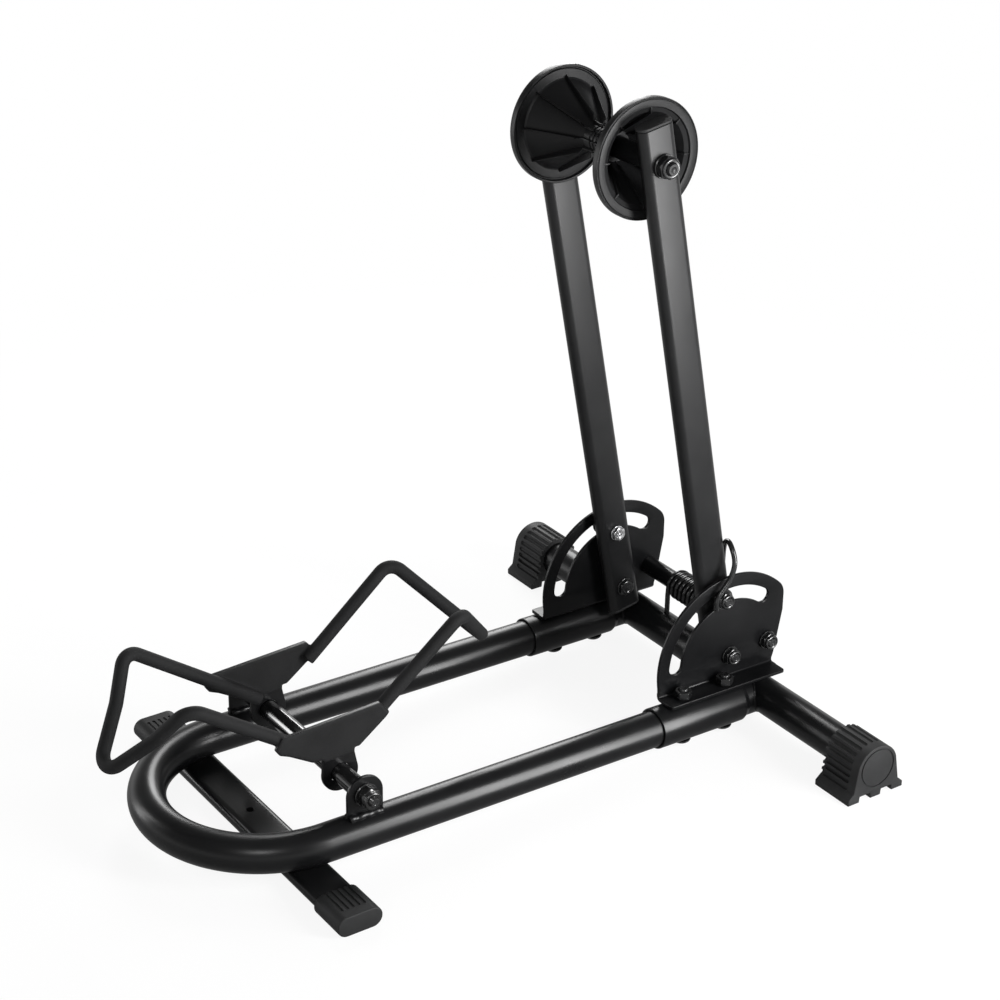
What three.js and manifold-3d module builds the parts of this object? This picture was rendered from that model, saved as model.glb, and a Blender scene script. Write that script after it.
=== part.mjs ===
// Floor stand for one bicycle: the wheel rolls over a rocking cradle and is
// held between two cones on sprung arms. Millimetres, +Z up, +Y to the back.
import * as THREE from 'three';
import { mergeGeometries, mergeVertices } from 'three/addons/utils/BufferGeometryUtils.js';
import Module from 'manifold-3d';

const wasm = await Module();
wasm.setup();

// Gap kept between two pieces that touch on the real stand.
const seatGap = 0.3;
const sides = [['left', -1], ['right', 1]];

// Rear cross tube and its feet.
const rearTube = { radius: 15, wall: 1.6, halfLength: 235, height: 25.5 };
const rearFoot = {
  length: 40.3, endWall: 5, archRadius: 20.5, halfWidth: 28.5, lipHeight: 4.8,
  waistHalfWidth: 23.4, waistHeight: 9.2, padHalfWidth: 5.3, notchWidth: 11.7, notchDepth: 5,
  grooveLength: 29, grooveWidth: 2.4, grooveDepth: 1.3, grooveCount: 11, groovePitch: 16.5,
};

// U-shaped base tube, its rear sleeves and the flat bar below the bend.
const uTube = { radius: 15.1, wall: 1.6, halfSpacing: 91.8, bendY: -417.3, rearY: -30, axisHeight: 23.1 };
const sleeve = {
  radius: uTube.radius + 2, bore: uTube.radius + 0.3, frontY: -110, neckY: -27, neckRadius: 13.8, neckRun: 4,
};
const frontBar = { width: 33, height: 11.8, wall: 1.5, halfLength: 164, y: -432, holeRadius: 3.2 };
const frontCap = {
  wall: 2.5, length: 35.8, endWall: 3.3, grooveCount: 4, grooveWidth: 1.8, grooveDepth: 0.9,
};

// Sector plates that carry the arms.
const plate = {
  inner: 80, thickness: 3, radius: 73.4, rearReach: 55.5, rearTopZ: 27, cornerRadius: 16,
  frontY: -98, rearY: 20.5, flangeReach: 101, cornerCut: 1.8, bendRadius: 4.5,
};
const slot = { radius: 56.2, width: 12.4, forwardLimit: 75, backwardLimit: 46 };
const pivot = { y: -25.9, z: 39.9 };
const spacer = { radius: 8, bore: 4.5, behindPivot: 39.3, abovePivot: 3 };
const flangeBoltY = [-80, -37];

// Arms, the axle across their tops and the two cones.
const arm = {
  width: 31, thickness: 13, wall: 1.5, centre: 69.2, below: 21.2, above: 30, toAxle: 439.6, lean: 11.2,
};
const plug = { cap: 2.6, stem: 14, fit: 0.35 };
const axle = { radius: 5, nutStandout: 3.5 };
const cone = {
  discInner: 52.8, discOuter: 56.6, rimRadius: 47, rimHeight: 1.6, rimWidth: 2.2, ringRadius: 43.5,
  coneRadius: 34.5, wall: 2.4, neckX: 14, neckRadius: 11.5, hubRadius: 10, hubStart: 0.6,
  hubEnd: 58.6, coreRadius: 8.4, mouthRadius: 39.5,
  finCount: 8, finThickness: 1.8, finFoot: 39, finNeckX: 13.6, finNeckRadius: 17.5, finTurn: -14.2,
};

// Rocking wheel cradle.
const cradle = {
  y: -383.5, z: 32.5, tubeRadius: 8, tabThickness: 3, tabRadius: 15.5, tabOffset: 1.4, rock: 2.8,
  wingCentre: 56.5, wingThickness: 4, earRadius: 15.5, wireRadius: 5.75, wireCentre: 48.4,
  armStart: [19, 22.7], bend: [117, 96.7], bendX: 53, knee: [137.2, 67], kneeX: 32, vertex: [173, 30],
};

// Coil spring round the spacer tube: one leg in the cross tube, one on the right slot bolt.
const spring = {
  wire: 2, clearance: 1, pitch: 5.6, turns: 13, leftX: -37, stepsPerTurn: 8, wireSides: 5,
};

// M8 and M10 hardware.
const m8 = { radius: 4, hole: 4.3, nutFlats: 13, nutHeight: 6.5, washerRadius: 8, washer: 1.6, head: 4.6 };
const m10 = { nutFlats: 16.5, nutHeight: 8, washerRadius: 9.5, washer: 1.8 };
const slotBushRadius = 5.8;

const finish = {
  gloss: new THREE.MeshStandardMaterial({ color: 0x17181a, roughness: 0.32, metalness: 0.3 }),
  satin: new THREE.MeshStandardMaterial({ color: 0x232427, roughness: 0.5, metalness: 0.2 }),
  plastic: new THREE.MeshStandardMaterial({ color: 0x333436, roughness: 0.7, metalness: 0 }),
  dip: new THREE.MeshStandardMaterial({ color: 0x26272a, roughness: 0.85, metalness: 0 }),
  oxide: new THREE.MeshStandardMaterial({ color: 0x111214, roughness: 0.35, metalness: 0.8 }),
  zinc: new THREE.MeshStandardMaterial({ color: 0xb9bbbd, roughness: 0.35, metalness: 1 }),
};

// ---------- solids ----------

function solidOf(geometry) {
  const bare = new THREE.BufferGeometry();
  bare.setAttribute('position', geometry.getAttribute('position').clone());
  if (geometry.index) bare.setIndex(geometry.index.clone());
  const welded = mergeVertices(bare, 1e-4);
  return new wasm.Manifold(new wasm.Mesh({
    numProp: 3,
    vertProperties: new Float32Array(welded.getAttribute('position').array),
    triVerts: new Uint32Array(welded.index.array),
  }));
}

function geometryOf(solid) {
  const mesh = solid.getMesh();
  const geometry = new THREE.BufferGeometry();
  geometry.setAttribute('position', new THREE.BufferAttribute(new Float32Array(mesh.vertProperties), 3));
  geometry.setIndex(new THREE.BufferAttribute(new Uint32Array(mesh.triVerts), 1));
  geometry.computeVertexNormals();
  return geometry;
}

function cut(geometry, ...tools) {
  let solid = solidOf(geometry);
  for (const tool of tools) solid = solid.subtract(solidOf(tool));
  return geometryOf(solid);
}

function join(...geometries) {
  let solid = solidOf(geometries[0]);
  for (const other of geometries.slice(1)) solid = solid.add(solidOf(other));
  return geometryOf(solid);
}

function circlePoints(radius, count, turn = 0) {
  const points = [];
  for (let i = 0; i < count; i += 1) {
    const angle = turn + (2 * Math.PI * i) / count;
    points.push(new THREE.Vector2(radius * Math.cos(angle), radius * Math.sin(angle)));
  }
  return points;
}

function ringShape(radius, bore, count, boreCount = count) {
  const shape = new THREE.Shape(circlePoints(radius, count));
  if (bore > 0) shape.holes.push(new THREE.Path(circlePoints(bore, boreCount)));
  return shape;
}

function ovalPoints(width, height, arcSteps) {
  const points = [];
  const radius = height / 2;
  const centre = width / 2 - radius;
  for (const side of [1, -1]) {
    for (let i = 0; i <= arcSteps; i += 1) {
      const angle = -Math.PI / 2 + (Math.PI * i) / arcSteps + (side < 0 ? Math.PI : 0);
      points.push(new THREE.Vector2(side * centre + radius * Math.cos(angle), radius * Math.sin(angle)));
    }
  }
  return points;
}

function ovalShape(width, height, wall, arcSteps = 7) {
  const shape = new THREE.Shape(ovalPoints(width, height, arcSteps));
  if (wall > 0) {
    shape.holes.push(new THREE.Path(ovalPoints(width - 2 * wall, height - 2 * wall, arcSteps)));
  }
  return shape;
}

// Extrudes a shape drawn across the X axis (shape x along Y, shape y along Z).
function alongX(shape, from, to) {
  const geometry = new THREE.ExtrudeGeometry(shape, {
    depth: to - from, bevelEnabled: false, curveSegments: 10,
  });
  geometry.applyMatrix4(new THREE.Matrix4().set(0, 0, 1, from, 1, 0, 0, 0, 0, 1, 0, 0, 0, 0, 0, 1));
  return geometry;
}

// Extrudes a shape drawn in the XY plane upwards.
function alongZ(shape, from, to) {
  const geometry = new THREE.ExtrudeGeometry(shape, {
    depth: to - from, bevelEnabled: false, curveSegments: 10,
  });
  geometry.translate(0, 0, from);
  return geometry;
}

// Turns a [radius, position] profile round the X axis.
function turnedX(profile, segments = 24) {
  const geometry = new THREE.LatheGeometry(profile.map(([r, x]) => new THREE.Vector2(r, x)), segments);
  geometry.rotateZ(-Math.PI / 2);
  return geometry;
}

function rod(radius, from, to, count = 16) {
  return alongX(ringShape(radius, 0, count), from, to);
}

function pin(radius, from, to, x, y, count = 12) {
  return alongZ(ringShape(radius, 0, count), from, to).translate(x, y, 0);
}

function tubeAlong(radius, bore, count, from, to) {
  return alongX(ringShape(radius, bore, count), from, to);
}

// A path through stations, so that straight runs need one step only.
class StationPath extends THREE.Curve {
  constructor(stations) {
    super();
    this.stations = stations;
  }

  getPoint(t) {
    const place = t * (this.stations.length - 1);
    const first = Math.min(Math.floor(place), this.stations.length - 2);
    return this.stations[first].clone().lerp(this.stations[first + 1], place - first);
  }

  getPointAt(t) {
    return this.getPoint(t);
  }

  getTangentAt(t) {
    const last = this.stations.length - 1;
    const index = Math.round(t * last);
    const here = this.stations[index];
    const tangent = new THREE.Vector3();
    if (index > 0) tangent.add(here.clone().sub(this.stations[index - 1]).normalize());
    if (index < last) tangent.add(this.stations[index + 1].clone().sub(here).normalize());
    return tangent.normalize();
  }
}

function sweep(stations, radius, bore, count, boreCount = count) {
  return new THREE.ExtrudeGeometry(ringShape(radius, bore, count, boreCount), {
    steps: stations.length - 1,
    extrudePath: new StationPath(stations),
  });
}

// Rounds the inner corners of a run of points: corner i gets radii[i].
function rounded(points, radii, arcSteps) {
  const stations = [points[0]];
  for (let i = 1; i < points.length - 1; i += 1) {
    const back = points[i - 1].clone().sub(points[i]).normalize();
    const ahead = points[i + 1].clone().sub(points[i]).normalize();
    const half = Math.acos(THREE.MathUtils.clamp(back.dot(ahead), -1, 1)) / 2;
    const run = radii[i - 1] / Math.tan(half);
    const centre = back.clone().add(ahead).normalize();
    centre.multiplyScalar(radii[i - 1] / Math.sin(half)).add(points[i]);
    const start = back.multiplyScalar(run).add(points[i]).sub(centre);
    const end = ahead.multiplyScalar(run).add(points[i]).sub(centre);
    const turn = Math.PI - 2 * half;
    const axis = start.clone().cross(end).normalize();
    for (let step = 0; step <= arcSteps; step += 1) {
      stations.push(start.clone().applyAxisAngle(axis, (turn * step) / arcSteps).add(centre));
    }
  }
  stations.push(points[points.length - 1]);
  return stations;
}

// ---------- hardware ----------

function hexPoints(flats) {
  return circlePoints(flats / Math.sqrt(3), 6, Math.PI / 6);
}

// A nut on its washer, threaded on a bolt along X; side is +1 when it faces +X.
function nutX(side, from, flats, height, washerRadius, washer, bore) {
  const start = Math.min(side * from, side * (from + washer));
  const base = tubeAlong(washerRadius, bore, 16, start, start + washer);
  const hexStart = Math.min(side * (from + washer), side * (from + washer + height));
  const hex = new THREE.Shape(hexPoints(flats));
  hex.holes.push(new THREE.Path(circlePoints(bore, 16)));
  return join(base, alongX(hex, hexStart, hexStart + height));
}

// A bolt along X with a round flanged head at `headAt` and its tip at `tip`.
function boltX(headAt, tip, radius, head, headRadius) {
  const away = Math.sign(headAt - tip);
  const profile = [
    [0, tip], [radius - 0.5, tip], [radius, tip + away * 0.5], [radius, headAt], [headRadius, headAt],
    [headRadius, headAt + away * head * 0.45], [headRadius * 0.78, headAt + away * head],
    [0, headAt + away * head],
  ];
  if (away < 0) profile.reverse();
  return turnedX(profile, 14);
}

const group = () => new THREE.Group();

function piece(parent, name, geometry, material) {
  const mesh = new THREE.Mesh(geometry, material);
  mesh.name = name;
  parent.add(mesh);
  return mesh;
}

// ---------- base ----------

const rack = group();
const frame = group();
const frontAxisHeight = frontCap.wall + frontBar.height + seatGap + uTube.radius;
const rise = Math.asin((frontAxisHeight - uTube.axisHeight) / -frontBar.y);
frame.position.z = uTube.axisHeight;
frame.rotation.x = -rise;
rack.add(frame);

const plateOuter = plate.inner + plate.thickness;
const flangeBottom = sleeve.radius + seatGap;
const flangeTop = flangeBottom + plate.thickness;
const spacerPlace = { y: pivot.y + spacer.behindPivot, z: pivot.z + spacer.abovePivot };
const coilRadius = spacer.radius + spring.clearance + spring.wire;
const springSeat = { x: spring.leftX, y: spacerPlace.y - coilRadius };
const tubeRise = rearTube.height - uTube.axisHeight;

function makeUTube() {
  const { halfSpacing, bendY, rearY } = uTube;
  const stations = [new THREE.Vector3(halfSpacing, rearY, 0)];
  const bendSteps = 18;
  for (let i = 0; i <= bendSteps; i += 1) {
    const angle = (Math.PI * i) / bendSteps;
    stations.push(new THREE.Vector3(halfSpacing * Math.cos(angle), bendY - halfSpacing * Math.sin(angle), 0));
  }
  stations.push(new THREE.Vector3(-halfSpacing, rearY, 0));
  const tube = sweep(stations, uTube.radius, uTube.radius - uTube.wall, 20, 10);
  const holes = [];
  for (const [, side] of sides) {
    for (const y of flangeBoltY) holes.push(pin(m8.hole, -20, 20, side * halfSpacing, y));
  }
  piece(frame, 'u_tube', cut(tube, ...holes), finish.gloss);
}

function makeSleeve(label, side) {
  const { radius, bore, frontY, neckY, neckRadius, neckRun } = sleeve;
  const neckBore = neckRadius - (radius - bore);
  const profile = [
    [bore, frontY], [radius, frontY], [radius, neckY], [neckRadius, neckY + neckRun], [neckRadius, 0],
    [neckBore, 0], [neckBore, neckY + neckRun], [bore, neckY], [bore, frontY],
  ];
  const tube = turnedX(profile, 20);
  tube.rotateZ(Math.PI / 2);
  tube.translate(side * uTube.halfSpacing, 0, 0);
  const cope = rod(rearTube.radius + seatGap, -200, 200, 32).translate(0, 0, tubeRise);
  const holes = flangeBoltY.map((y) => pin(m8.hole, -30, 30, side * uTube.halfSpacing, y));
  piece(frame, `sleeve_${label}`, cut(tube, cope, ...holes), finish.gloss);
}

function makeRearTube() {
  const { radius, wall, halfLength } = rearTube;
  const tube = tubeAlong(radius, radius - wall, 28, -halfLength, halfLength);
  const hole = pin(spring.wire + seatGap, 0, 2 * radius, springSeat.x, springSeat.y, 12);
  const mesh = piece(frame, 'rear_cross_tube', cut(tube, hole), finish.gloss);
  mesh.position.z = tubeRise;
}

function rearFootShape() {
  const f = rearFoot;
  const shape = new THREE.Shape();
  const notchStart = f.padHalfWidth;
  const notchEnd = f.padHalfWidth + f.notchWidth;
  const shoulder = Math.atan2(6, 20);
  shape.moveTo(-f.halfWidth, 0);
  for (const [from, to] of [[-notchEnd, -notchStart], [notchStart, notchEnd]]) {
    shape.lineTo(from, 0);
    shape.lineTo(from, f.notchDepth - 1);
    shape.lineTo(from + 1.2, f.notchDepth);
    shape.lineTo(to - 1.2, f.notchDepth);
    shape.lineTo(to, f.notchDepth - 1);
    shape.lineTo(to, 0);
  }
  shape.lineTo(f.halfWidth, 0);
  shape.lineTo(f.halfWidth, f.lipHeight);
  shape.lineTo(f.waistHalfWidth, f.waistHeight);
  shape.absarc(0, rearTube.height, f.archRadius, shoulder, Math.PI - shoulder, false);
  shape.lineTo(-f.waistHalfWidth, f.waistHeight);
  shape.lineTo(-f.halfWidth, f.lipHeight);
  return shape;
}

function makeRearFoot(label, side) {
  const f = rearFoot;
  const outer = rearTube.halfLength + seatGap + f.endWall;
  const inner = outer - f.length;
  const body = alongX(rearFootShape(), inner, outer);
  const socket = rod(rearTube.radius + seatGap, inner - 5, rearTube.halfLength + seatGap, 28)
    .translate(0, 0, rearTube.height);
  const grooves = [];
  for (let i = 0; i < f.grooveCount; i += 1) {
    const angle = (i - (f.grooveCount - 1) / 2) * THREE.MathUtils.degToRad(f.groovePitch);
    const groove = new THREE.BoxGeometry(f.grooveLength, f.grooveWidth, 2 * f.grooveDepth);
    groove.translate(inner + f.grooveLength / 2 - 1, 0, f.archRadius);
    groove.rotateX(angle);
    grooves.push(groove.translate(0, 0, rearTube.height));
  }
  const geometry = cut(body, socket, ...grooves);
  const mesh = piece(rack, `rear_foot_${label}`, geometry, finish.plastic);
  if (side < 0) mesh.rotation.z = Math.PI;
}

const barCentreZ = frontCap.wall + frontBar.height / 2;

function makeFrontBar() {
  const b = frontBar;
  const tube = alongX(ovalShape(b.width, b.height, b.wall), -b.halfLength, b.halfLength);
  const hole = pin(b.holeRadius, 0, b.height, 0, 0, 14);
  piece(rack, 'front_crossbar', cut(tube, hole), finish.gloss).position.set(0, b.y, barCentreZ);
}

function makeFrontCap(label, side) {
  const c = frontCap;
  const b = frontBar;
  const width = b.width + 2 * c.wall;
  const height = b.height + 2 * c.wall;
  const outer = b.halfLength + seatGap + c.endWall;
  const body = alongX(ovalShape(width, height, 0), outer - c.length, outer);
  const pocket = alongX(
    ovalShape(b.width + 2 * seatGap, b.height + 2 * seatGap, 0),
    outer - c.length - 5,
    b.halfLength + seatGap,
  );
  const grooves = [];
  for (let i = 0; i < c.grooveCount; i += 1) {
    const groove = new THREE.BoxGeometry(c.length * 0.62, c.grooveWidth, 2 * c.grooveDepth);
    const y = (i - (c.grooveCount - 1) / 2) * 2.6 * c.grooveWidth;
    grooves.push(groove.translate(outer - c.length * 0.58, y, height / 2));
  }
  const mesh = piece(rack, `front_cap_${label}`, cut(body, pocket, ...grooves), finish.plastic);
  mesh.position.set(0, b.y, barCentreZ);
  if (side < 0) mesh.rotation.z = Math.PI;
}

// ---------- plates ----------

// The two ends of the bolt's way along the slot, as angles from the rearward level line.
const slotFront = THREE.MathUtils.degToRad(90 + arm.lean + slot.forwardLimit);
const slotRear = THREE.MathUtils.degToRad(90 + arm.lean - slot.backwardLimit);

function slotPath() {
  const path = new THREE.Path();
  const half = slot.width / 2;
  const end = (angle) => [pivot.y + slot.radius * Math.cos(angle), pivot.z + slot.radius * Math.sin(angle)];
  path.absarc(pivot.y, pivot.z, slot.radius + half, slotRear, slotFront, false);
  path.absarc(...end(slotFront), half, slotFront, slotFront + Math.PI, false);
  path.absarc(pivot.y, pivot.z, slot.radius - half, slotFront, slotRear, true);
  path.absarc(...end(slotRear), half, slotRear + Math.PI, slotRear + 2 * Math.PI, false);
  return path;
}

function plateShape() {
  const p = plate;
  const bottom = flangeBottom + p.bendRadius;
  const shape = new THREE.Shape();
  const frontAngle = Math.PI + Math.asin(Math.max(pivot.z - bottom - 6, 0) / p.radius);
  const cornerY = pivot.y + p.rearReach - p.cornerRadius;
  const cornerZ = pivot.z + p.rearTopZ;
  const reach = p.radius - p.cornerRadius;
  const rearRun = cornerY - pivot.y;
  const rearAngle = Math.atan2(Math.sqrt(Math.max(reach ** 2 - rearRun ** 2, 1)), rearRun);
  const cornerCentre = [pivot.y + reach * Math.cos(rearAngle), pivot.z + reach * Math.sin(rearAngle)];
  shape.moveTo(p.frontY, bottom);
  shape.lineTo(p.rearY, bottom);
  shape.lineTo(p.rearY + 2, bottom + 6);
  shape.lineTo(cornerCentre[0] + p.cornerRadius, cornerZ);
  shape.absarc(...cornerCentre, p.cornerRadius, 0, rearAngle, false);
  shape.absarc(pivot.y, pivot.z, p.radius, rearAngle, frontAngle, false);
  shape.holes.push(slotPath());
  for (const place of [pivot, spacerPlace]) {
    const hole = circlePoints(m8.hole, 12).map((v) => v.add(new THREE.Vector2(place.y, place.z)));
    shape.holes.push(new THREE.Path(hole));
  }
  return shape;
}

// The bent foot of a plate: up from the flange, round the bend and into the web.
function flangeProfile() {
  const p = plate;
  const shape = new THREE.Shape();
  const webTop = flangeBottom + p.bendRadius + 2;
  shape.moveTo(p.flangeReach, flangeBottom);
  shape.lineTo(p.flangeReach, flangeTop);
  shape.lineTo(plateOuter + 1.5, flangeTop);
  shape.absarc(plateOuter + 1.5, flangeTop + 1.5, 1.5, -Math.PI / 2, Math.PI, true);
  shape.lineTo(plateOuter, webTop);
  shape.lineTo(p.inner, webTop);
  shape.absarc(
    p.inner + p.bendRadius, flangeBottom + p.bendRadius, p.bendRadius, Math.PI, 1.5 * Math.PI, false,
  );
  return shape;
}

function makePlate(label, side) {
  const p = plate;
  const web = alongX(plateShape(), p.inner, plateOuter);
  const foot = new THREE.ExtrudeGeometry(flangeProfile(), {
    depth: p.rearY - p.frontY, bevelEnabled: false, curveSegments: 5,
  });
  foot.rotateX(Math.PI / 2);
  foot.translate(0, p.rearY, 0);
  const holes = flangeBoltY.map((y) => pin(m8.hole, 0, 40, uTube.halfSpacing, y));
  const corners = [p.frontY, p.rearY].map((y) => {
    const block = new THREE.BoxGeometry(2 * p.cornerCut, 2 * p.cornerCut, 20);
    return block.rotateZ(Math.PI / 4).translate(p.flangeReach, y, flangeTop);
  });
  const geometry = cut(join(web, foot), ...holes, ...corners);
  if (side < 0) geometry.applyMatrix4(new THREE.Matrix4().makeScale(-1, 1, 1));
  if (side < 0) flipFaces(geometry);
  piece(frame, `side_plate_${label}`, geometry, finish.gloss);
}

function flipFaces(geometry) {
  const index = geometry.index.array;
  for (let i = 0; i < index.length; i += 3) [index[i], index[i + 1]] = [index[i + 1], index[i]];
  geometry.computeVertexNormals();
}

function makeFlangeHardware(label, side) {
  flangeBoltY.forEach((y, i) => {
    const place = i === 0 ? 'front' : 'rear';
    const x = side * uTube.halfSpacing;
    const top = flangeTop + seatGap + m8.nutHeight + 2;
    const under = -sleeve.radius - seatGap;
    const head = [[0, under - 4], [4.5, under - 3.4], [7, under - 1.8], [8, under], [m8.radius, under]];
    const bolt = new THREE.LatheGeometry(
      [...head, [m8.radius, top - 0.6], [m8.radius - 0.6, top], [0, top]]
        .map(([r, z]) => new THREE.Vector2(r, z)),
      16,
    );
    bolt.rotateX(Math.PI / 2);
    piece(frame, `flange_bolt_${label}_${place}`, bolt.translate(x, y, 0), finish.oxide);
    const hex = new THREE.Shape(hexPoints(m8.nutFlats));
    hex.holes.push(new THREE.Path(circlePoints(m8.hole, 12)));
    const nut = alongZ(hex, flangeTop + seatGap, flangeTop + seatGap + m8.nutHeight);
    piece(frame, `flange_nut_${label}_${place}`, nut.translate(x, y, 0), finish.oxide);
  });
}

const armInner = arm.centre - arm.thickness / 2;
const armOuter = arm.centre + arm.thickness / 2;
const boltTip = plateOuter + seatGap + m8.washer + m8.nutHeight + 2;

function plateNut(side) {
  return nutX(side, plateOuter + seatGap, m8.nutFlats, m8.nutHeight, m8.washerRadius, m8.washer, m8.hole);
}

function makePivotHardware(label, side) {
  const place = group();
  place.position.set(0, pivot.y, pivot.z);
  frame.add(place);
  const bolt = boltX(side * (armInner - seatGap), side * boltTip, m8.radius, m8.head, m8.washerRadius);
  piece(place, `pivot_bolt_${label}`, bolt, finish.oxide);
  piece(place, `pivot_nut_${label}`, plateNut(side), finish.oxide);
  const bush = [armOuter + seatGap, plate.inner - seatGap].map((x) => side * x).sort((a, b) => a - b);
  piece(place, `pivot_bush_${label}`, tubeAlong(7.5, m8.hole, 20, ...bush), finish.oxide);
}

function makeSpacer() {
  const place = group();
  place.position.set(0, spacerPlace.y, spacerPlace.z);
  frame.add(place);
  const half = plate.inner - seatGap;
  piece(place, 'spacer_tube', tubeAlong(spacer.radius, spacer.bore, 20, -half, half), finish.gloss);
  const bolt = boltX(-(plateOuter + seatGap), boltTip, m8.radius, m8.head + 1, m8.washerRadius);
  piece(place, 'spacer_bolt', bolt, finish.oxide);
  piece(place, 'spacer_nut', plateNut(1), finish.oxide);
}

// ---------- arms ----------

const armSet = group();
armSet.position.set(0, pivot.y, pivot.z);
armSet.rotation.x = THREE.MathUtils.degToRad(arm.lean);
frame.add(armSet);
const armTop = arm.toAxle + arm.above;

// An oval across an arm: long way front to back, thin way along X.
function armOval(width, thickness, wall) {
  const turned = (points) => points.map((v) => new THREE.Vector2(-v.y, v.x));
  const shape = new THREE.Shape(turned(ovalPoints(width, thickness, 7)));
  if (wall > 0) {
    const inner = ovalPoints(width - 2 * wall, thickness - 2 * wall, 5);
    shape.holes.push(new THREE.Path(turned(inner)));
  }
  return shape;
}

function makeArm(label, side) {
  const tube = alongZ(armOval(arm.width, arm.thickness, arm.wall), -arm.below, armTop);
  tube.translate(side * arm.centre, 0, 0);
  const holes = [
    rod(m8.hole, -100, 100, 12),
    rod(m8.hole, -100, 100, 12).translate(0, 0, slot.radius),
    rod(axle.radius + seatGap, -100, 100).translate(0, 0, arm.toAxle),
  ];
  piece(armSet, `arm_${label}`, cut(tube, ...holes), finish.satin);
}

function makeArmPlugs(label, side) {
  for (const [end, at, up] of [['top', armTop + seatGap, 1], ['bottom', -arm.below - seatGap, -1]]) {
    const cap = alongZ(armOval(arm.width, arm.thickness, 0), 0, plug.cap);
    const stemInset = 2 * (arm.wall + plug.fit);
    const stem = alongZ(
      armOval(arm.width - stemInset, arm.thickness - stemInset, 1.6), -plug.stem, 0.5,
    );
    const geometry = join(cap, stem);
    if (up < 0) geometry.rotateX(Math.PI);
    geometry.translate(side * arm.centre, 0, at);
    piece(armSet, `arm_plug_${end}_${label}`, geometry, finish.plastic);
  }
}

function makeSlotHardware(label, side) {
  const place = group();
  place.position.z = slot.radius;
  armSet.add(place);
  const bushEnd = plateOuter + seatGap;
  const nutAt = bushEnd + seatGap;
  const tip = nutAt + m8.washer + m8.nutHeight + 2;
  const bolt = boltX(side * (armInner - seatGap), side * tip, m8.radius, m8.head, m8.washerRadius - 1.5);
  piece(place, `slot_bolt_${label}`, bolt, side < 0 ? finish.zinc : finish.oxide);
  const bush = [armOuter + seatGap, bushEnd].map((x) => side * x).sort((a, b) => a - b);
  piece(place, `slot_bush_${label}`, tubeAlong(slotBushRadius, m8.hole, 20, ...bush), finish.oxide);
  const nut = nutX(side, nutAt, m8.nutFlats, m8.nutHeight, m8.washerRadius + 1, m8.washer, m8.hole);
  piece(place, `slot_nut_${label}`, nut, finish.oxide);
}

const axlePlace = group();
axlePlace.position.z = arm.toAxle;
armSet.add(axlePlace);

function makeAxle() {
  const end = armOuter + seatGap + m10.washer + m10.nutHeight + axle.nutStandout;
  const profile = [
    [0, -end], [axle.radius - 0.7, -end], [axle.radius, -end + 0.7], [axle.radius, end - 0.7],
    [axle.radius - 0.7, end], [0, end],
  ];
  piece(axlePlace, 'wheel_axle', turnedX(profile, 20), finish.oxide);
}

function makeAxleHardware(label, side) {
  const bore = axle.radius + seatGap;
  const washerStart = armOuter + seatGap;
  const washerSpan = [washerStart, washerStart + m10.washer].map((x) => side * x).sort((a, b) => a - b);
  piece(
    axlePlace, `axle_washer_${label}`, tubeAlong(m10.washerRadius, bore, 20, ...washerSpan), finish.oxide,
  );
  const hex = new THREE.Shape(hexPoints(m10.nutFlats));
  hex.holes.push(new THREE.Path(circlePoints(bore, 20)));
  const nutStart = washerStart + m10.washer + seatGap;
  const nutSpan = [nutStart, nutStart + m10.nutHeight].map((x) => side * x).sort((a, b) => a - b);
  piece(axlePlace, `axle_nut_${label}`, alongX(hex, ...nutSpan), finish.oxide);
  const spacerSpan = [cone.hubEnd + seatGap, armInner - seatGap].map((x) => side * x).sort((a, b) => a - b);
  piece(axlePlace, `axle_spacer_${label}`, tubeAlong(8, bore, 20, ...spacerSpan), finish.plastic);
}

// ---------- cones ----------

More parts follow.
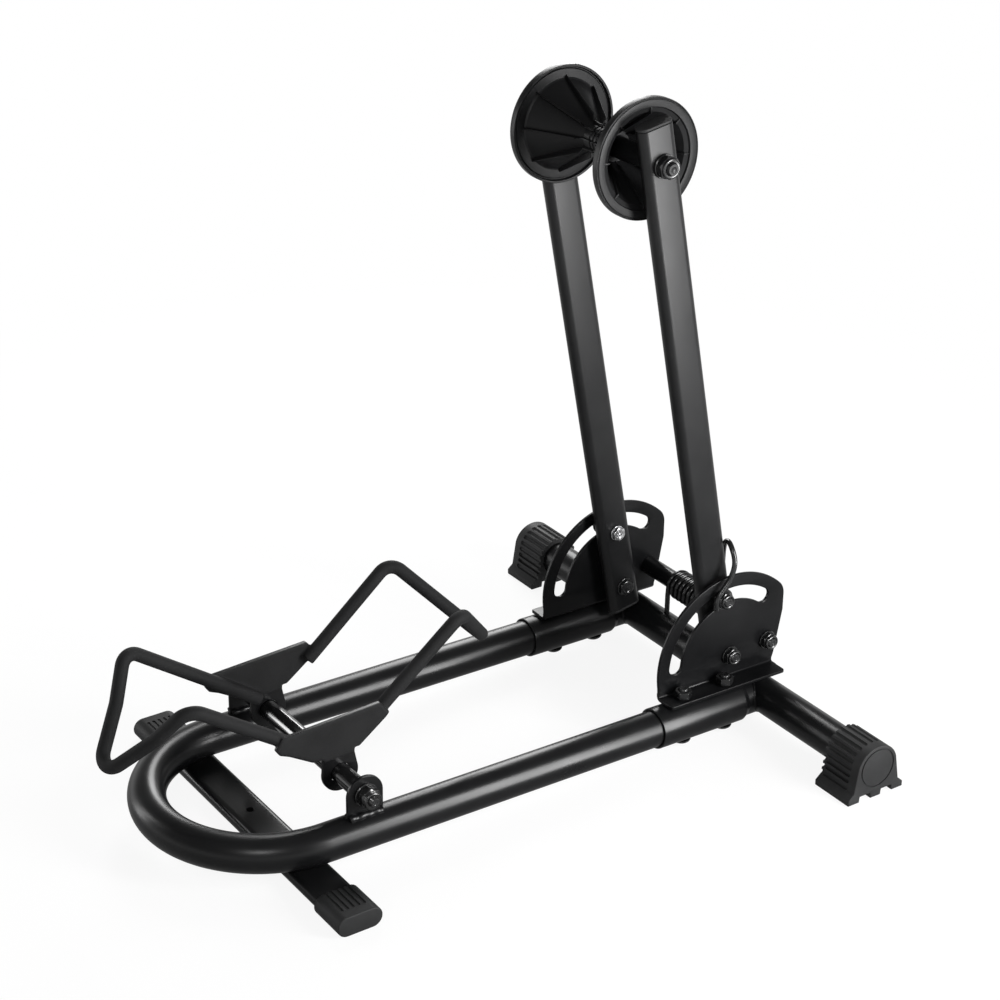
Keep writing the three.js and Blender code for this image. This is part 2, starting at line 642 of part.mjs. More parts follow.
function makeCone(label, side) {
  const c = cone;
  const bore = axle.radius + seatGap;
  const profile = [
    [bore, c.hubStart], [c.hubRadius, c.hubStart], [c.hubRadius, c.neckX - 2], [c.neckRadius, c.neckX],
    [c.coneRadius, c.discInner - 1], [c.coneRadius + 1.5, c.discInner], [c.ringRadius, c.discInner],
    [c.ringRadius + 0.6, c.discInner + 1], [c.rimRadius - c.rimWidth, c.discInner + 1],
    [c.rimRadius - c.rimWidth + 0.4, c.discInner - c.rimHeight],
    [c.rimRadius, c.discInner - c.rimHeight + 0.6],
    [c.rimRadius, c.discOuter - 0.6], [c.rimRadius - 0.6, c.discOuter], [c.mouthRadius, c.discOuter],
    [c.coneRadius - c.wall + 1, c.discOuter - 2.5], [c.neckRadius - c.wall + 2.8, c.neckX + 3.2],
    [c.coreRadius, c.neckX + 4], [c.coreRadius, c.hubEnd], [bore, c.hubEnd], [bore, c.hubStart],
  ];
  const shell = turnedX(profile, 30);
  const finShape = new THREE.Shape([
    new THREE.Vector2(c.finNeckX, c.hubRadius - 1), new THREE.Vector2(c.discInner + 0.5, c.coneRadius - 1),
    new THREE.Vector2(c.discInner + 0.5, c.finFoot), new THREE.Vector2(c.finNeckX, c.finNeckRadius),
  ]);
  const half = c.finThickness / 2;
  const fins = [];
  for (let i = 0; i < c.finCount; i += 1) {
    const fin = new THREE.ExtrudeGeometry(finShape, { depth: c.finThickness, bevelEnabled: false });
    fin.translate(0, 0, -half);
    fin.rotateX(Math.PI / 2);
    const turn = side * c.finTurn + (360 * i) / c.finCount;
    fin.rotateX(THREE.MathUtils.degToRad(turn));
    fins.push(fin);
    const rib = new THREE.BoxGeometry(c.neckX - c.hubStart - 2, c.finThickness, 2.6);
    rib.translate((c.neckX + c.hubStart) / 2 - 0.5, 0, c.hubRadius + 0.6);
    rib.rotateX(THREE.MathUtils.degToRad(turn - 90));
    fins.push(rib);
  }
  const mesh = piece(axlePlace, `cone_${label}`, join(shell, ...fins), finish.satin);
  if (side < 0) mesh.rotation.z = Math.PI;
}

// ---------- cradle ----------

const cradlePlace = group();
cradlePlace.position.set(0, cradle.y, cradle.z);
frame.add(cradlePlace);
const cradleSet = group();
cradleSet.rotation.x = THREE.MathUtils.degToRad(cradle.rock);
cradlePlace.add(cradleSet);
const tabCentre = uTube.halfSpacing + cradle.tabOffset;
const cradleTubeEnd = tabCentre - cradle.tabThickness / 2 - 0.6;

function makeCradleTab(label, side) {
  const c = cradle;
  const shape = new THREE.Shape();
  const foot = uTube.radius + seatGap - c.z;
  shape.moveTo(-c.tabRadius, foot);
  shape.lineTo(c.tabRadius, foot);
  shape.absarc(0, 0, c.tabRadius, 0, Math.PI, false);
  shape.holes.push(new THREE.Path(circlePoints(m8.hole, 12)));
  const from = side * tabCentre - c.tabThickness / 2;
  piece(cradlePlace, `cradle_tab_${label}`, alongX(shape, from, from + c.tabThickness), finish.gloss);
}

function makeCradleBolt() {
  const tabOuter = tabCentre + cradle.tabThickness / 2;
  const nutAt = tabOuter + seatGap;
  const tip = nutAt + 15.5;
  const bolt = boltX(-(tabOuter + seatGap), tip, m8.radius, m8.head + 1.4, m8.washerRadius);
  piece(cradlePlace, 'cradle_bolt', bolt, finish.oxide);
  const nut = nutX(1, nutAt, m8.nutFlats, m8.nutHeight + 1.5, m8.washerRadius + 0.5, m8.washer, m8.hole);
  piece(cradlePlace, 'cradle_nut', nut, finish.oxide);
}

function makeCradleTube() {
  const tube = tubeAlong(cradle.tubeRadius, m8.hole, 20, -cradleTubeEnd, cradleTubeEnd);
  piece(cradleSet, 'cradle_tube', tube, finish.gloss);
}

function wireStations(toward) {
  const c = cradle;
  const at = (x, [y, z]) => new THREE.Vector3(x, toward * y, z);
  const points = [
    at(-c.wireCentre, c.armStart), at(-c.bendX, c.bend), at(-c.kneeX, c.knee), at(0, c.vertex),
    at(c.kneeX, c.knee), at(c.bendX, c.bend), at(c.wireCentre, c.armStart),
  ];
  return rounded(points, [14, 30, 15, 30, 14], 5);
}

function makeWing(label, side) {
  const c = cradle;
  const shape = new THREE.Shape();
  const outline = [
    [-14, 16.5], [-23, 17.5], [-42, 30], [-50, 34], [-53, 39], [-47, 47.5], [38, 48.5], [46, 37.5],
    [42.5, 34], [18, 17.5], [12.8, 17.6],
  ];
  const start = Math.atan2(4, 15);
  shape.moveTo(c.earRadius * Math.cos(start), c.earRadius * Math.sin(start));
  shape.absarc(0, 0, c.earRadius, start, -Math.PI - start, true);
  for (const [y, z] of outline) shape.lineTo(y, z);
  shape.holes.push(new THREE.Path(circlePoints(c.tubeRadius + seatGap, 20)));
  const from = side * c.wingCentre - c.wingThickness / 2;
  const sheet = alongX(shape, from, from + c.wingThickness);
  const channels = [-1, 1].map((toward) => sweep(wireStations(toward), c.wireRadius + seatGap, 0, 10));
  piece(cradleSet, `cradle_wing_${label}`, cut(sheet, ...channels), finish.dip);
}

function makeWire(name, toward) {
  piece(cradleSet, name, sweep(wireStations(toward), cradle.wireRadius, 0, 10), finish.dip);
}

// ---------- spring ----------

// Points of the moving leg, from behind the right arm to its hook over the slot bolt:
// place along X, behind the arm's middle line and above the pivot.
const springLeg = [
  [62, 21, 88], [69, 19, 97], [75, 18.4, 101], [80, 16.6, 100], [84.5, 15, 95.5], [87.5, 14, 89.5],
  [88.5, 12, 83.5], [88.5, 8, 77], [88.5, 2.6, 71.5], [88.5, -3, 67.8], [88.5, -8, 64.5],
  [88.5, -11, 59], [88.5, -11.2, 53],
];

function springStations() {
  const s = spring;
  const seat = new THREE.Vector3(springSeat.x, springSeat.y, tubeRise);
  const tubeTop = tubeRise + rearTube.radius;
  const stations = [seat.clone().setZ(tubeTop - 6), seat.clone().setZ(tubeTop + 3)];
  const steps = s.turns * s.stepsPerTurn;
  for (let i = 0; i <= steps; i += 1) {
    const angle = Math.PI - (2 * Math.PI * i) / s.stepsPerTurn;
    stations.push(new THREE.Vector3(
      s.leftX + (s.pitch * i) / s.stepsPerTurn,
      spacerPlace.y + coilRadius * Math.cos(angle),
      spacerPlace.z + coilRadius * Math.sin(angle),
    ));
  }
  const lean = armSet.rotation.x;
  for (const [x, behind, above] of springLeg) {
    stations.push(new THREE.Vector3(
      x,
      armSet.position.y + behind * Math.cos(lean) - above * Math.sin(lean),
      armSet.position.z + behind * Math.sin(lean) + above * Math.cos(lean),
    ));
  }
  return stations;
}

function selfGap(stations, radius, skip) {
  let least = Infinity;
  for (let i = 0; i < stations.length; i += 1) {
    for (let j = i + skip; j < stations.length; j += 1) {
      least = Math.min(least, stations[i].distanceTo(stations[j]) - 2 * radius);
    }
  }
  return least;
}

function makeSpring() {
  const stations = springStations();
  const gap = selfGap(stations, spring.wire, spring.stepsPerTurn - 2);
  console.log(`torsion_spring: least gap to itself ${gap.toFixed(2)} mm`);
  piece(frame, 'torsion_spring', sweep(stations, spring.wire, 0, spring.wireSides), finish.oxide);
}

// ---------- assembly ----------

makeUTube();
makeRearTube();
makeFrontBar();
makeSpacer();
for (const [label, side] of sides) {
  makeSleeve(label, side);
  makeRearFoot(label, side);
  makeFrontCap(label, side);
  makePlate(label, side);
  makeFlangeHardware(label, side);
  makePivotHardware(label, side);
  makeArm(label, side);
  makeArmPlugs(label, side);
  makeSlotHardware(label, side);
  makeAxleHardware(label, side);
  makeCone(label, side);
  makeCradleTab(label, side);
  makeWing(label, side);
}
makeAxle();
makeCradleTube();
makeCradleBolt();
makeWire('cradle_wire_front', -1);
makeWire('cradle_wire_rear', 1);
makeSpring();

// The origin lies at the bottom centre of the whole stand.
rack.updateMatrixWorld(true);
const box = new THREE.Box3().setFromObject(rack, true);
rack.position.set(-(box.min.x + box.max.x) / 2, -(box.min.y + box.max.y) / 2, -box.min.z);
rack.updateMatrixWorld(true);

export default rack;
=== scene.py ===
import math

import bmesh
import bpy
from mathutils import Matrix, Vector


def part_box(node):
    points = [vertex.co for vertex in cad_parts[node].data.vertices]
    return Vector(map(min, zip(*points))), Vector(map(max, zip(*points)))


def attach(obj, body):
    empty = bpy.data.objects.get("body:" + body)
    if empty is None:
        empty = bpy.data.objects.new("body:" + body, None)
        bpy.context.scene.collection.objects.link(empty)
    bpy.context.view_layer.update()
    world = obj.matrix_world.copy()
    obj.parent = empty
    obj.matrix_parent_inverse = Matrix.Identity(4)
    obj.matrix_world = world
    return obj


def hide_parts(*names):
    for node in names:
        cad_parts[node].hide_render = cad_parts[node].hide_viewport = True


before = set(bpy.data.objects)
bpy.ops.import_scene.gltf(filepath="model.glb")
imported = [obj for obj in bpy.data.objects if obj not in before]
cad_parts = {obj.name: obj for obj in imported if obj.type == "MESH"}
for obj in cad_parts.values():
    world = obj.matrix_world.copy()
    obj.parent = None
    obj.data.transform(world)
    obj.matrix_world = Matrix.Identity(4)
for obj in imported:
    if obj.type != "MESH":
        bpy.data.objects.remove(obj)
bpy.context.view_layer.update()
scene = bpy.context.scene
print("stand loaded:", len(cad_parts), "nodes")

# Every size below is in millimetres until a place matrix turns it into metres.
sides = (("left", -1), ("right", 1))
seatGap = 0.3
mirrorX = Matrix.Scale(-1, 4, (1, 0, 0))


# Small tools for meshes.

def linked(mesh):
    piece = bpy.data.objects.new("work", mesh)
    scene.collection.objects.link(piece)
    return piece


def taken(piece):
    # the evaluated shape as a plain mesh; the helper object goes
    graph = bpy.context.evaluated_depsgraph_get()
    mesh = bpy.data.meshes.new_from_object(piece.evaluated_get(graph))
    bpy.data.objects.remove(piece)
    return mesh


def worked(mesh, *steps):
    piece = linked(mesh)
    for kind, settings in steps:
        modifier = piece.modifiers.new(kind, kind)
        for key, value in settings.items():
            setattr(modifier, key, value)
    bpy.context.view_layer.update()
    return taken(piece)


def combined(mesh, others, operation="DIFFERENCE"):
    tools = [linked(other) for other in others]
    steps = [("BOOLEAN", {"operation": operation, "solver": "EXACT", "object": tool}) for tool in tools]
    result = worked(mesh, *steps)
    for tool in tools:
        bpy.data.objects.remove(tool)
    return result


def grown(mesh, tree, values):
    # runs a Geometry Nodes tree on the mesh; inputs are found by name and set by identifier
    piece = linked(mesh)
    modifier = piece.modifiers.new("rule", "NODES")
    modifier.node_group = tree
    for item in tree.interface.items_tree:
        if item.in_out == "INPUT" and item.name in values:
            modifier[item.identifier] = values[item.name]
    bpy.context.view_layer.update()
    return taken(piece)


def written(shape, mesh=None):
    if mesh is None:
        mesh = bpy.data.meshes.new("shape")
    shape.to_mesh(mesh)
    shape.free()
    return mesh


def tidied(mesh, weld=0.002):
    shape = bmesh.new()
    shape.from_mesh(mesh)
    bmesh.ops.remove_doubles(shape, verts=shape.verts, dist=weld)
    bmesh.ops.recalc_face_normals(shape, faces=shape.faces)
    return written(shape, mesh)


def moved(mesh, *shift):
    mesh.transform(Matrix.Translation(shift))
    return mesh


def spun(mesh, degrees, axis):
    mesh.transform(Matrix.Rotation(math.radians(degrees), 4, axis))
    return mesh


def joined(*meshes):
    shape = bmesh.new()
    for mesh in meshes:
        shape.from_mesh(mesh)
    return written(shape)


def arc(centre, radius, start, end, steps):
    points = []
    for i in range(steps + 1):
        angle = math.radians(start + (end - start) * i / steps)
        points.append((centre[0] + radius * math.cos(angle), centre[1] + radius * math.sin(angle)))
    return points


def softened(outline, radius, steps=4):
    # rounds every corner of a closed outline that turns by more than 12 degrees
    result = []
    count = len(outline)
    for i in range(count):
        here = Vector(outline[i])
        back, ahead = Vector(outline[i - 1]) - here, Vector(outline[(i + 1) % count]) - here
        spread = back.angle(ahead)
        if math.pi - spread < math.radians(12):
            result.append(tuple(here))
            continue
        run = min(radius / math.tan(spread / 2), back.length * 0.45, ahead.length * 0.45)
        first, last = here + back.normalized() * run, here + ahead.normalized() * run
        for step in range(steps + 1):
            t = step / steps
            result.append(tuple(first.lerp(here, t).lerp(here.lerp(last, t), t)))
    return result


def oval(width, height, steps=16):
    reach = (width - height) / 2
    right = arc((reach, 0), height / 2, -90, 90, steps)
    left = arc((-reach, 0), height / 2, 90, 270, steps)
    return right + left


def slab(outline, holes, thickness, edge, edgeSteps=2):
    # a flat shape with rounded edges, lying in its own XY plane, its middle at z 0
    curve = bpy.data.curves.new("outline", "CURVE")
    curve.dimensions = "2D"
    curve.fill_mode = "BOTH"
    curve.extrude = thickness / 2 - edge
    curve.bevel_depth = edge
    curve.bevel_resolution = edgeSteps
    curve.offset = -edge
    for loop in (outline, *holes):
        spline = curve.splines.new("POLY")
        spline.points.add(len(loop) - 1)
        for point, place in zip(spline.points, loop):
            point.co = (place[0], place[1], 0, 1)
        spline.use_cyclic_u = True
    piece = bpy.data.objects.new("outline", curve)
    scene.collection.objects.link(piece)
    bpy.context.view_layer.update()
    return tidied(taken(piece))


acrossX = Matrix(((0, 0, 1, 0), (1, 0, 0, 0), (0, 1, 0, 0), (0, 0, 0, 1)))  # drawn x to Y, y to Z
acrossY = Matrix(((1, 0, 0, 0), (0, 0, 1, 0), (0, 1, 0, 0), (0, 0, 0, 1)))  # drawn x to X, y to Z


def slabX(outline, holes, start, end, edge, edgeSteps=2):
    mesh = slab(outline, holes, end - start, edge, edgeSteps)
    mesh.transform(acrossX)
    return moved(mesh, (start + end) / 2, 0, 0)


def turned(profile, steps=64, bored=False):
    # turns (place along X, radius) round the X axis; a radius may be a rule of the angle
    shape = bmesh.new()
    rings = []
    for x, radius in profile:
        if radius == 0:
            rings.append([shape.verts.new((x, 0, 0))] * steps)
            continue
        ring = []
        for i in range(steps):
            angle = 2 * math.pi * i / steps
            reach = radius(angle) if callable(radius) else radius
            ring.append(shape.verts.new((x, reach * math.cos(angle), reach * math.sin(angle))))
        rings.append(ring)
    pairs = list(zip(rings, rings[1:])) + ([(rings[-1], rings[0])] if bored else [])
    for near, far in pairs:
        for i in range(steps):
            j = (i + 1) % steps
            corners = list(dict.fromkeys((near[i], near[j], far[j], far[i])))
            if len(corners) > 2:
                shape.faces.new(corners)
    bmesh.ops.recalc_face_normals(shape, faces=shape.faces)
    return written(shape)


def rod(start, end, radius, steps=72):
    return turned([(start, 0), (start, radius), (end, radius), (end, 0)], steps)


def ringOf(start, end, bore, radius, edge, steps):
    # a bored rod with softened edges
    corners = [(start, bore), (start, radius), (end, radius), (end, bore)]
    return turned(softened(corners, edge, 2), steps, bored=True)


def pathMesh(points, closed=False):
    mesh = bpy.data.meshes.new("path")
    edges = [(i, i + 1) for i in range(len(points) - 1)] + ([(len(points) - 1, 0)] if closed else [])
    mesh.from_pydata([tuple(p) for p in points], edges, [])
    return mesh


def bentPath(corners, radii, steps):
    # a run of straight lengths with a round bend at each inner corner
    points = [Vector(corners[0])]
    for i in range(1, len(corners) - 1):
        here = Vector(corners[i])
        back = (Vector(corners[i - 1]) - here).normalized()
        ahead = (Vector(corners[i + 1]) - here).normalized()
        half = back.angle(ahead) / 2
        radius = radii[i - 1]
        centre = here + (back + ahead).normalized() * radius / math.sin(half)
        first = here + back * radius / math.tan(half) - centre
        last = here + ahead * radius / math.tan(half) - centre
        axis = first.cross(last).normalized()
        turn = math.pi - 2 * half
        for step in range(steps + 1):
            points.append(Matrix.Rotation(turn * step / steps, 3, axis) @ first + centre)
    points.append(Vector(corners[-1]))
    return points


def flowing(points, steps):
    # a smooth line through all the points
    points = [Vector(p) for p in points]
    run = []
    for i in range(len(points) - 1):
        p0, p1 = points[max(i - 1, 0)], points[i]
        p2, p3 = points[i + 1], points[min(i + 2, len(points) - 1)]
        for step in range(steps):
            t = step / steps
            run.append(0.5 * (2 * p1 + (p2 - p0) * t + (2 * p0 - 5 * p1 + 4 * p2 - p3) * t * t
                              + (3 * p1 - p0 - 3 * p2 + p3) * t ** 3))
    return run + [points[-1]]


# Small tools for node trees.

def feed(tree, node, feeds):
    # feeds gives, by input name or number, a value or the output socket that drives it
    for key, value in feeds.items():
        if isinstance(value, bpy.types.NodeSocket):
            tree.links.new(value, node.inputs[key])
        else:
            node.inputs[key].default_value = value


def addNode(tree, kind, feeds, **settings):
    node = tree.nodes.new(kind)
    for key, value in settings.items():
        setattr(node, key, value)
    feed(tree, node, feeds)
    return node


def mathNode(tree, operation, *values):
    return addNode(tree, "ShaderNodeMath", dict(enumerate(values)), operation=operation).outputs[0]


def mapped(tree, source, fromMin, fromMax, toMin, toMax):
    return addNode(tree, "ShaderNodeMapRange", {
        "Value": source, "From Min": fromMin, "From Max": fromMax, "To Min": toMin, "To Max": toMax,
    }).outputs["Result"]


# Finishes.

slotNames = {}


def finishOf(name, slotName, look):
    slotNames[name] = slotName
    finish = bpy.data.materials.new(name)
    finish.use_nodes = True
    tree = finish.node_tree
    place = addNode(tree, "ShaderNodeTexCoord", {}).outputs["Object"]

    def noise(scale, detail):
        feeds = {"Vector": place, "Scale": scale, "Detail": detail}
        return addNode(tree, "ShaderNodeTexNoise", feeds).outputs["Fac"]
    cloud = noise(look["cloud"], 4)  # slow change of tone and gloss
    grain = noise(look["grain"], 3)  # the fine texture of the skin
    wave = noise(look.get("wave", 260), 1)  # the slight orange peel under the grain
    blend = mathNode(tree, "MULTIPLY_ADD", grain, look.get("speckle", 0.3), cloud)
    tone = addNode(tree, "ShaderNodeValToRGB", {"Fac": blend})
    ends = tone.color_ramp.elements
    ends[0].position, ends[1].position = 0.35, 0.95
    ends[0].color, ends[1].color = (*look["dark"], 1), (*look["light"], 1)
    broad = addNode(tree, "ShaderNodeBump", {
        "Strength": 0.5, "Distance": look.get("waveDepth", 0.00004), "Height": wave})
    fine = addNode(tree, "ShaderNodeBump", {
        "Strength": 0.6, "Distance": look["grainDepth"], "Height": grain, "Normal": broad.outputs["Normal"]})
    feed(tree, tree.nodes["Principled BSDF"], {
        "Metallic": look.get("metal", 0), "Specular IOR Level": look.get("specular", 0.5),
        "Base Color": tone.outputs["Color"], "Roughness": mapped(tree, cloud, 0.3, 0.7, *look["roughness"]),
        "Normal": fine.outputs["Normal"]})
    return finish


glossCoat = finishOf("glossBlackPowderCoat", "gloss_coat", {
    "dark": (0.0034, 0.0035, 0.0038), "light": (0.0066, 0.0067, 0.0071), "roughness": (0.27, 0.33),
    "cloud": 26, "grain": 900, "grainDepth": 0.000007, "wave": 330, "waveDepth": 0.000004, "specular": 0.24,
})
satinCoat = finishOf("satinBlackPowderCoat", "satin_coat", {
    "dark": (0.005, 0.0051, 0.0055), "light": (0.0095, 0.0096, 0.01), "roughness": (0.33, 0.4),
    "cloud": 22, "grain": 1100, "grainDepth": 0.000018, "wave": 380, "waveDepth": 0.00002, "specular": 0.23,
})
# painted shade: a darker copy of the gloss coat, with weaker gloss, worn by the side plates only
shadedPlateCoat = finishOf("shadedPlateGlossCoat", "gloss_coat", {
    "dark": (0.0026, 0.0027, 0.003), "light": (0.0052, 0.0053, 0.0057), "roughness": (0.27, 0.34),
    "cloud": 22, "grain": 1100, "grainDepth": 0.000016, "wave": 380, "waveDepth": 0.00001, "specular": 0.16,
})
coneMoulding = finishOf("satinConeMoulding", "cones", {
    "dark": (0.0048, 0.0049, 0.0052), "light": (0.0098, 0.0099, 0.0103), "roughness": (0.34, 0.42),
    "cloud": 30, "grain": 1500, "grainDepth": 0.000016, "wave": 240, "specular": 0.15,
})
footMoulding = finishOf("grainedFootMoulding", "moulded_feet", {
    "dark": (0.0075, 0.0077, 0.008), "light": (0.02, 0.0202, 0.0206), "roughness": (0.5, 0.62),
    "cloud": 34, "grain": 1700, "grainDepth": 0.00005, "speckle": 0.45, "wave": 420,
    "waveDepth": 0.00004, "specular": 0.22,
})
dipCoat = finishOf("mattDipCoat", "dip_coating", {
    "dark": (0.0045, 0.0046, 0.0049), "light": (0.0125, 0.0126, 0.013), "roughness": (0.68, 0.8),
    "cloud": 40, "grain": 1300, "grainDepth": 0.00011, "speckle": 0.6, "wave": 520,
    "waveDepth": 0.00006, "specular": 0.16,
})
springCoat = finishOf("glossSpringCoat", "spring_wire", {
    "dark": (0.003, 0.0031, 0.0033), "light": (0.006, 0.0061, 0.0064), "roughness": (0.17, 0.25),
    "cloud": 50, "grain": 1300, "grainDepth": 0.000008, "specular": 0.5, "waveDepth": 0.00001,
})
pinCoat = finishOf("polishedPinCoat", "gloss_coat", {
    "dark": (0.003, 0.0031, 0.0033), "light": (0.006, 0.0061, 0.0064), "roughness": (0.13, 0.18),
    "cloud": 50, "grain": 1300, "grainDepth": 0.000006, "specular": 1.0, "waveDepth": 0.000008,
})
boltCoat = finishOf("glossBoltCoat", "black_fasteners", {
    "dark": (0.004, 0.0041, 0.0043), "light": (0.009, 0.0091, 0.0095), "roughness": (0.2, 0.3),
    "cloud": 90, "grain": 1400, "grainDepth": 0.00002, "wave": 500, "specular": 0.75,
})
zincPlate = finishOf("brightZincPlate", "zinc", {
    "dark": (0.5, 0.5, 0.51), "light": (0.74, 0.74, 0.75), "roughness": (0.2, 0.34),
    "cloud": 120, "grain": 1500, "grainDepth": 0.00002, "metal": 1,
})
print("finishes made")


# Geometry Nodes trees.

def newTree(name, inputs):
    tree = bpy.data.node_groups.new(name, "GeometryNodeTree")
    tree.interface.new_socket(name="Geometry", in_out="OUTPUT", socket_type="NodeSocketGeometry")
    tree.interface.new_socket(name="Geometry", in_out="INPUT", socket_type="NodeSocketGeometry")
    for label, kind in inputs:
        tree.interface.new_socket(name=label, in_out="INPUT", socket_type="NodeSocket" + kind)
    given, output = tree.nodes.new("NodeGroupInput"), tree.nodes.new("NodeGroupOutput")
    return tree, given.outputs, output


def endTree(tree, source, finish, output):
    whole = addNode(tree, "GeometryNodeRealizeInstances", {"Geometry": source})
    painted = addNode(tree, "GeometryNodeSetMaterial", {"Geometry": whole.outputs[0], "Material": finish})
    tree.links.new(painted.outputs[0], output.inputs[0])


def tubeTree():
    # sweeps a round section along the given line; Ripple swells it as a weld bead swells
    tree, given, output = newTree("tubeAlongLine", (
        ("Radius", "Float"), ("Sides", "Int"), ("Ripple", "Float"), ("Ripple Length", "Float"),
        ("Finish", "Material")))
    line = addNode(tree, "GeometryNodeMeshToCurve", {"Mesh": given["Geometry"]})
    along = addNode(tree, "GeometryNodeSplineParameter", {})
    phase = mathNode(tree, "DIVIDE", along.outputs["Length"], given["Ripple Length"])
    swell = mathNode(tree, "SINE", mathNode(tree, "MULTIPLY", phase, 2 * math.pi))
    size = mathNode(tree, "MULTIPLY_ADD", swell, given["Ripple"], 1.0)
    ring = addNode(tree, "GeometryNodeCurvePrimitiveCircle", {
        "Resolution": given["Sides"], "Radius": given["Radius"]})
    tube = addNode(tree, "GeometryNodeCurveToMesh", {
        "Curve": line.outputs[0], "Profile Curve": ring.outputs[0], "Scale": size, "Fill Caps": True})
    endTree(tree, tube.outputs[0], given["Finish"], output)
    return tree


def copiesOf(tree, given, seats, **feeds):
    # stands the given part on every seat
    part = addNode(tree, "GeometryNodeObjectInfo", {"Object": given["Part"]})
    return addNode(tree, "GeometryNodeInstanceOnPoints", {
        "Points": seats, "Instance": part.outputs["Geometry"], **feeds}).outputs[0]


def ribTree():
    # repeats one rib round the X axis and joins the ribs to the body
    tree, given, output = newTree("ribsRoundAxis", (
        ("Part", "Object"), ("Count", "Int"), ("Step", "Float"), ("Start", "Float"), ("Finish", "Material")))
    seats = addNode(tree, "GeometryNodeMeshLine", {"Count": given["Count"], "Offset": (0, 0, 0)})
    order = addNode(tree, "GeometryNodeInputIndex", {})
    angle = mathNode(tree, "MULTIPLY_ADD", order.outputs[0], given["Step"], given["Start"])
    euler = addNode(tree, "ShaderNodeCombineXYZ", {"X": angle})
    turn = addNode(tree, "FunctionNodeEulerToRotation", {0: euler.outputs[0]})
    copies = copiesOf(tree, given, seats.outputs[0], Rotation=turn.outputs[0])
    whole = addNode(tree, "GeometryNodeRealizeInstances", {"Geometry": copies})
    feeds = {"Self Intersection": True}
    both = addNode(tree, "GeometryNodeMeshBoolean", feeds, operation="UNION", solver="EXACT")
    for source in (given["Geometry"], whole.outputs[0]):
        tree.links.new(source, both.inputs[1])
    endTree(tree, both.outputs["Mesh"], given["Finish"], output)
    return tree


def rowTree():
    # cuts a straight row of one part out of the body
    tree, given, output = newTree("rowOfGrooves", (
        ("Part", "Object"), ("Count", "Int"), ("Start", "Vector"), ("Step", "Vector"), ("Finish", "Material")))
    seats = addNode(tree, "GeometryNodeMeshLine", {
        "Count": given["Count"], "Start Location": given["Start"], "Offset": given["Step"]})
    copies = copiesOf(tree, given, seats.outputs[0])
    whole = addNode(tree, "GeometryNodeRealizeInstances", {"Geometry": copies})
    feeds = {"Mesh 1": given["Geometry"], "Mesh 2": whole.outputs[0]}
    both = addNode(tree, "GeometryNodeMeshBoolean", feeds, operation="DIFFERENCE", solver="EXACT")
    endTree(tree, both.outputs["Mesh"], given["Finish"], output)
    return tree


def seatTree():
    # sets one fastener on every given point, turned as the point's own "turn" says
    tree, given, output = newTree("fastenersOnSeats", (("Part", "Object"), ("Finish", "Material")))
    facing = addNode(tree, "GeometryNodeInputNamedAttribute", {"Name": "turn"}, data_type="FLOAT_VECTOR")
    turn = addNode(tree, "FunctionNodeEulerToRotation", {0: facing.outputs["Attribute"]})
    copies = copiesOf(tree, given, given["Geometry"], Rotation=turn.outputs[0])
    endTree(tree, copies, given["Finish"], output)
    return tree


tubeRule, ribRule, rowRule, seatRule = tubeTree(), ribTree(), rowTree(), seatTree()


def tube(points, radius, sides=40, finish=glossCoat, closed=False, ripple=0.0, rippleLength=1.0):
    mesh = grown(pathMesh(points, closed), tubeRule, {
        "Radius": float(radius), "Sides": sides, "Ripple": ripple, "Ripple Length": rippleLength,
        "Finish": finish})
    return tidied(mesh, 0.0005)


def repeated(body, rule, part, values):
    # grows a body by a tree that takes one more shape as its Part
    helper = linked(part)
    mesh = grown(body, rule, {"Part": helper, **values})
    bpy.data.objects.remove(helper)
    return mesh


def ribbed(body, rib, count, start, finish):
    return repeated(body, ribRule, rib, {
        "Count": count, "Step": math.radians(360 / count), "Start": math.radians(start), "Finish": finish})


def onSeats(part, seats, finish):
    # seats: (place, turn in degrees round Z, or round X, Y and Z)
    points = bpy.data.meshes.new("seats")
    points.from_pydata([place for place, turn in seats], [], [])
    attribute = points.attributes.new("turn", "FLOAT_VECTOR", "POINT")
    turns = [turn if isinstance(turn, tuple) else (0, 0, turn) for place, turn in seats]
    attribute.data.foreach_set("vector", [math.radians(v) for turn in turns for v in turn])
    return repeated(points, seatRule, part, {"Finish": finish})


def fitted(name, mesh, place, finish, body, nodes=(), crease=34, slotName=None):
    # puts a mesh in its place on the stand and hangs it on its body
    mesh.transform(place)
    if place.determinant() < 0:
        mesh.flip_normals()
    mesh.materials.clear()
    mesh.materials.append(finish)
    mesh.polygons.foreach_set("use_smooth", [True] * len(mesh.polygons))
    mesh.set_sharp_from_angle(angle=math.radians(crease))
    mesh.update()
    piece = bpy.data.objects.new(name, mesh)
    scene.collection.objects.link(piece)
    slotName = slotName or slotNames[finish.name]
    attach(piece, body)
    if nodes:
        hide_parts(*nodes)
    return piece


def fittedPair(name, part, seat, place, finish, body, stems, crease=30):
    # one part at each side, facing outwards, as far from the middle as seat says
    seats = [((seat, 0, 0), 0), ((-seat, 0, 0), 180)]
    nodes = [f"{stem}_{label}" for stem in stems for label, side in sides]
    fitted(name, onSeats(part, seats, finish), place, finish, body, nodes, crease)


def onSide(place, side):
    return place @ mirrorX if side < 0 else place


print("node trees made")

# Base: legs, sleeves, cross tube, front bar.

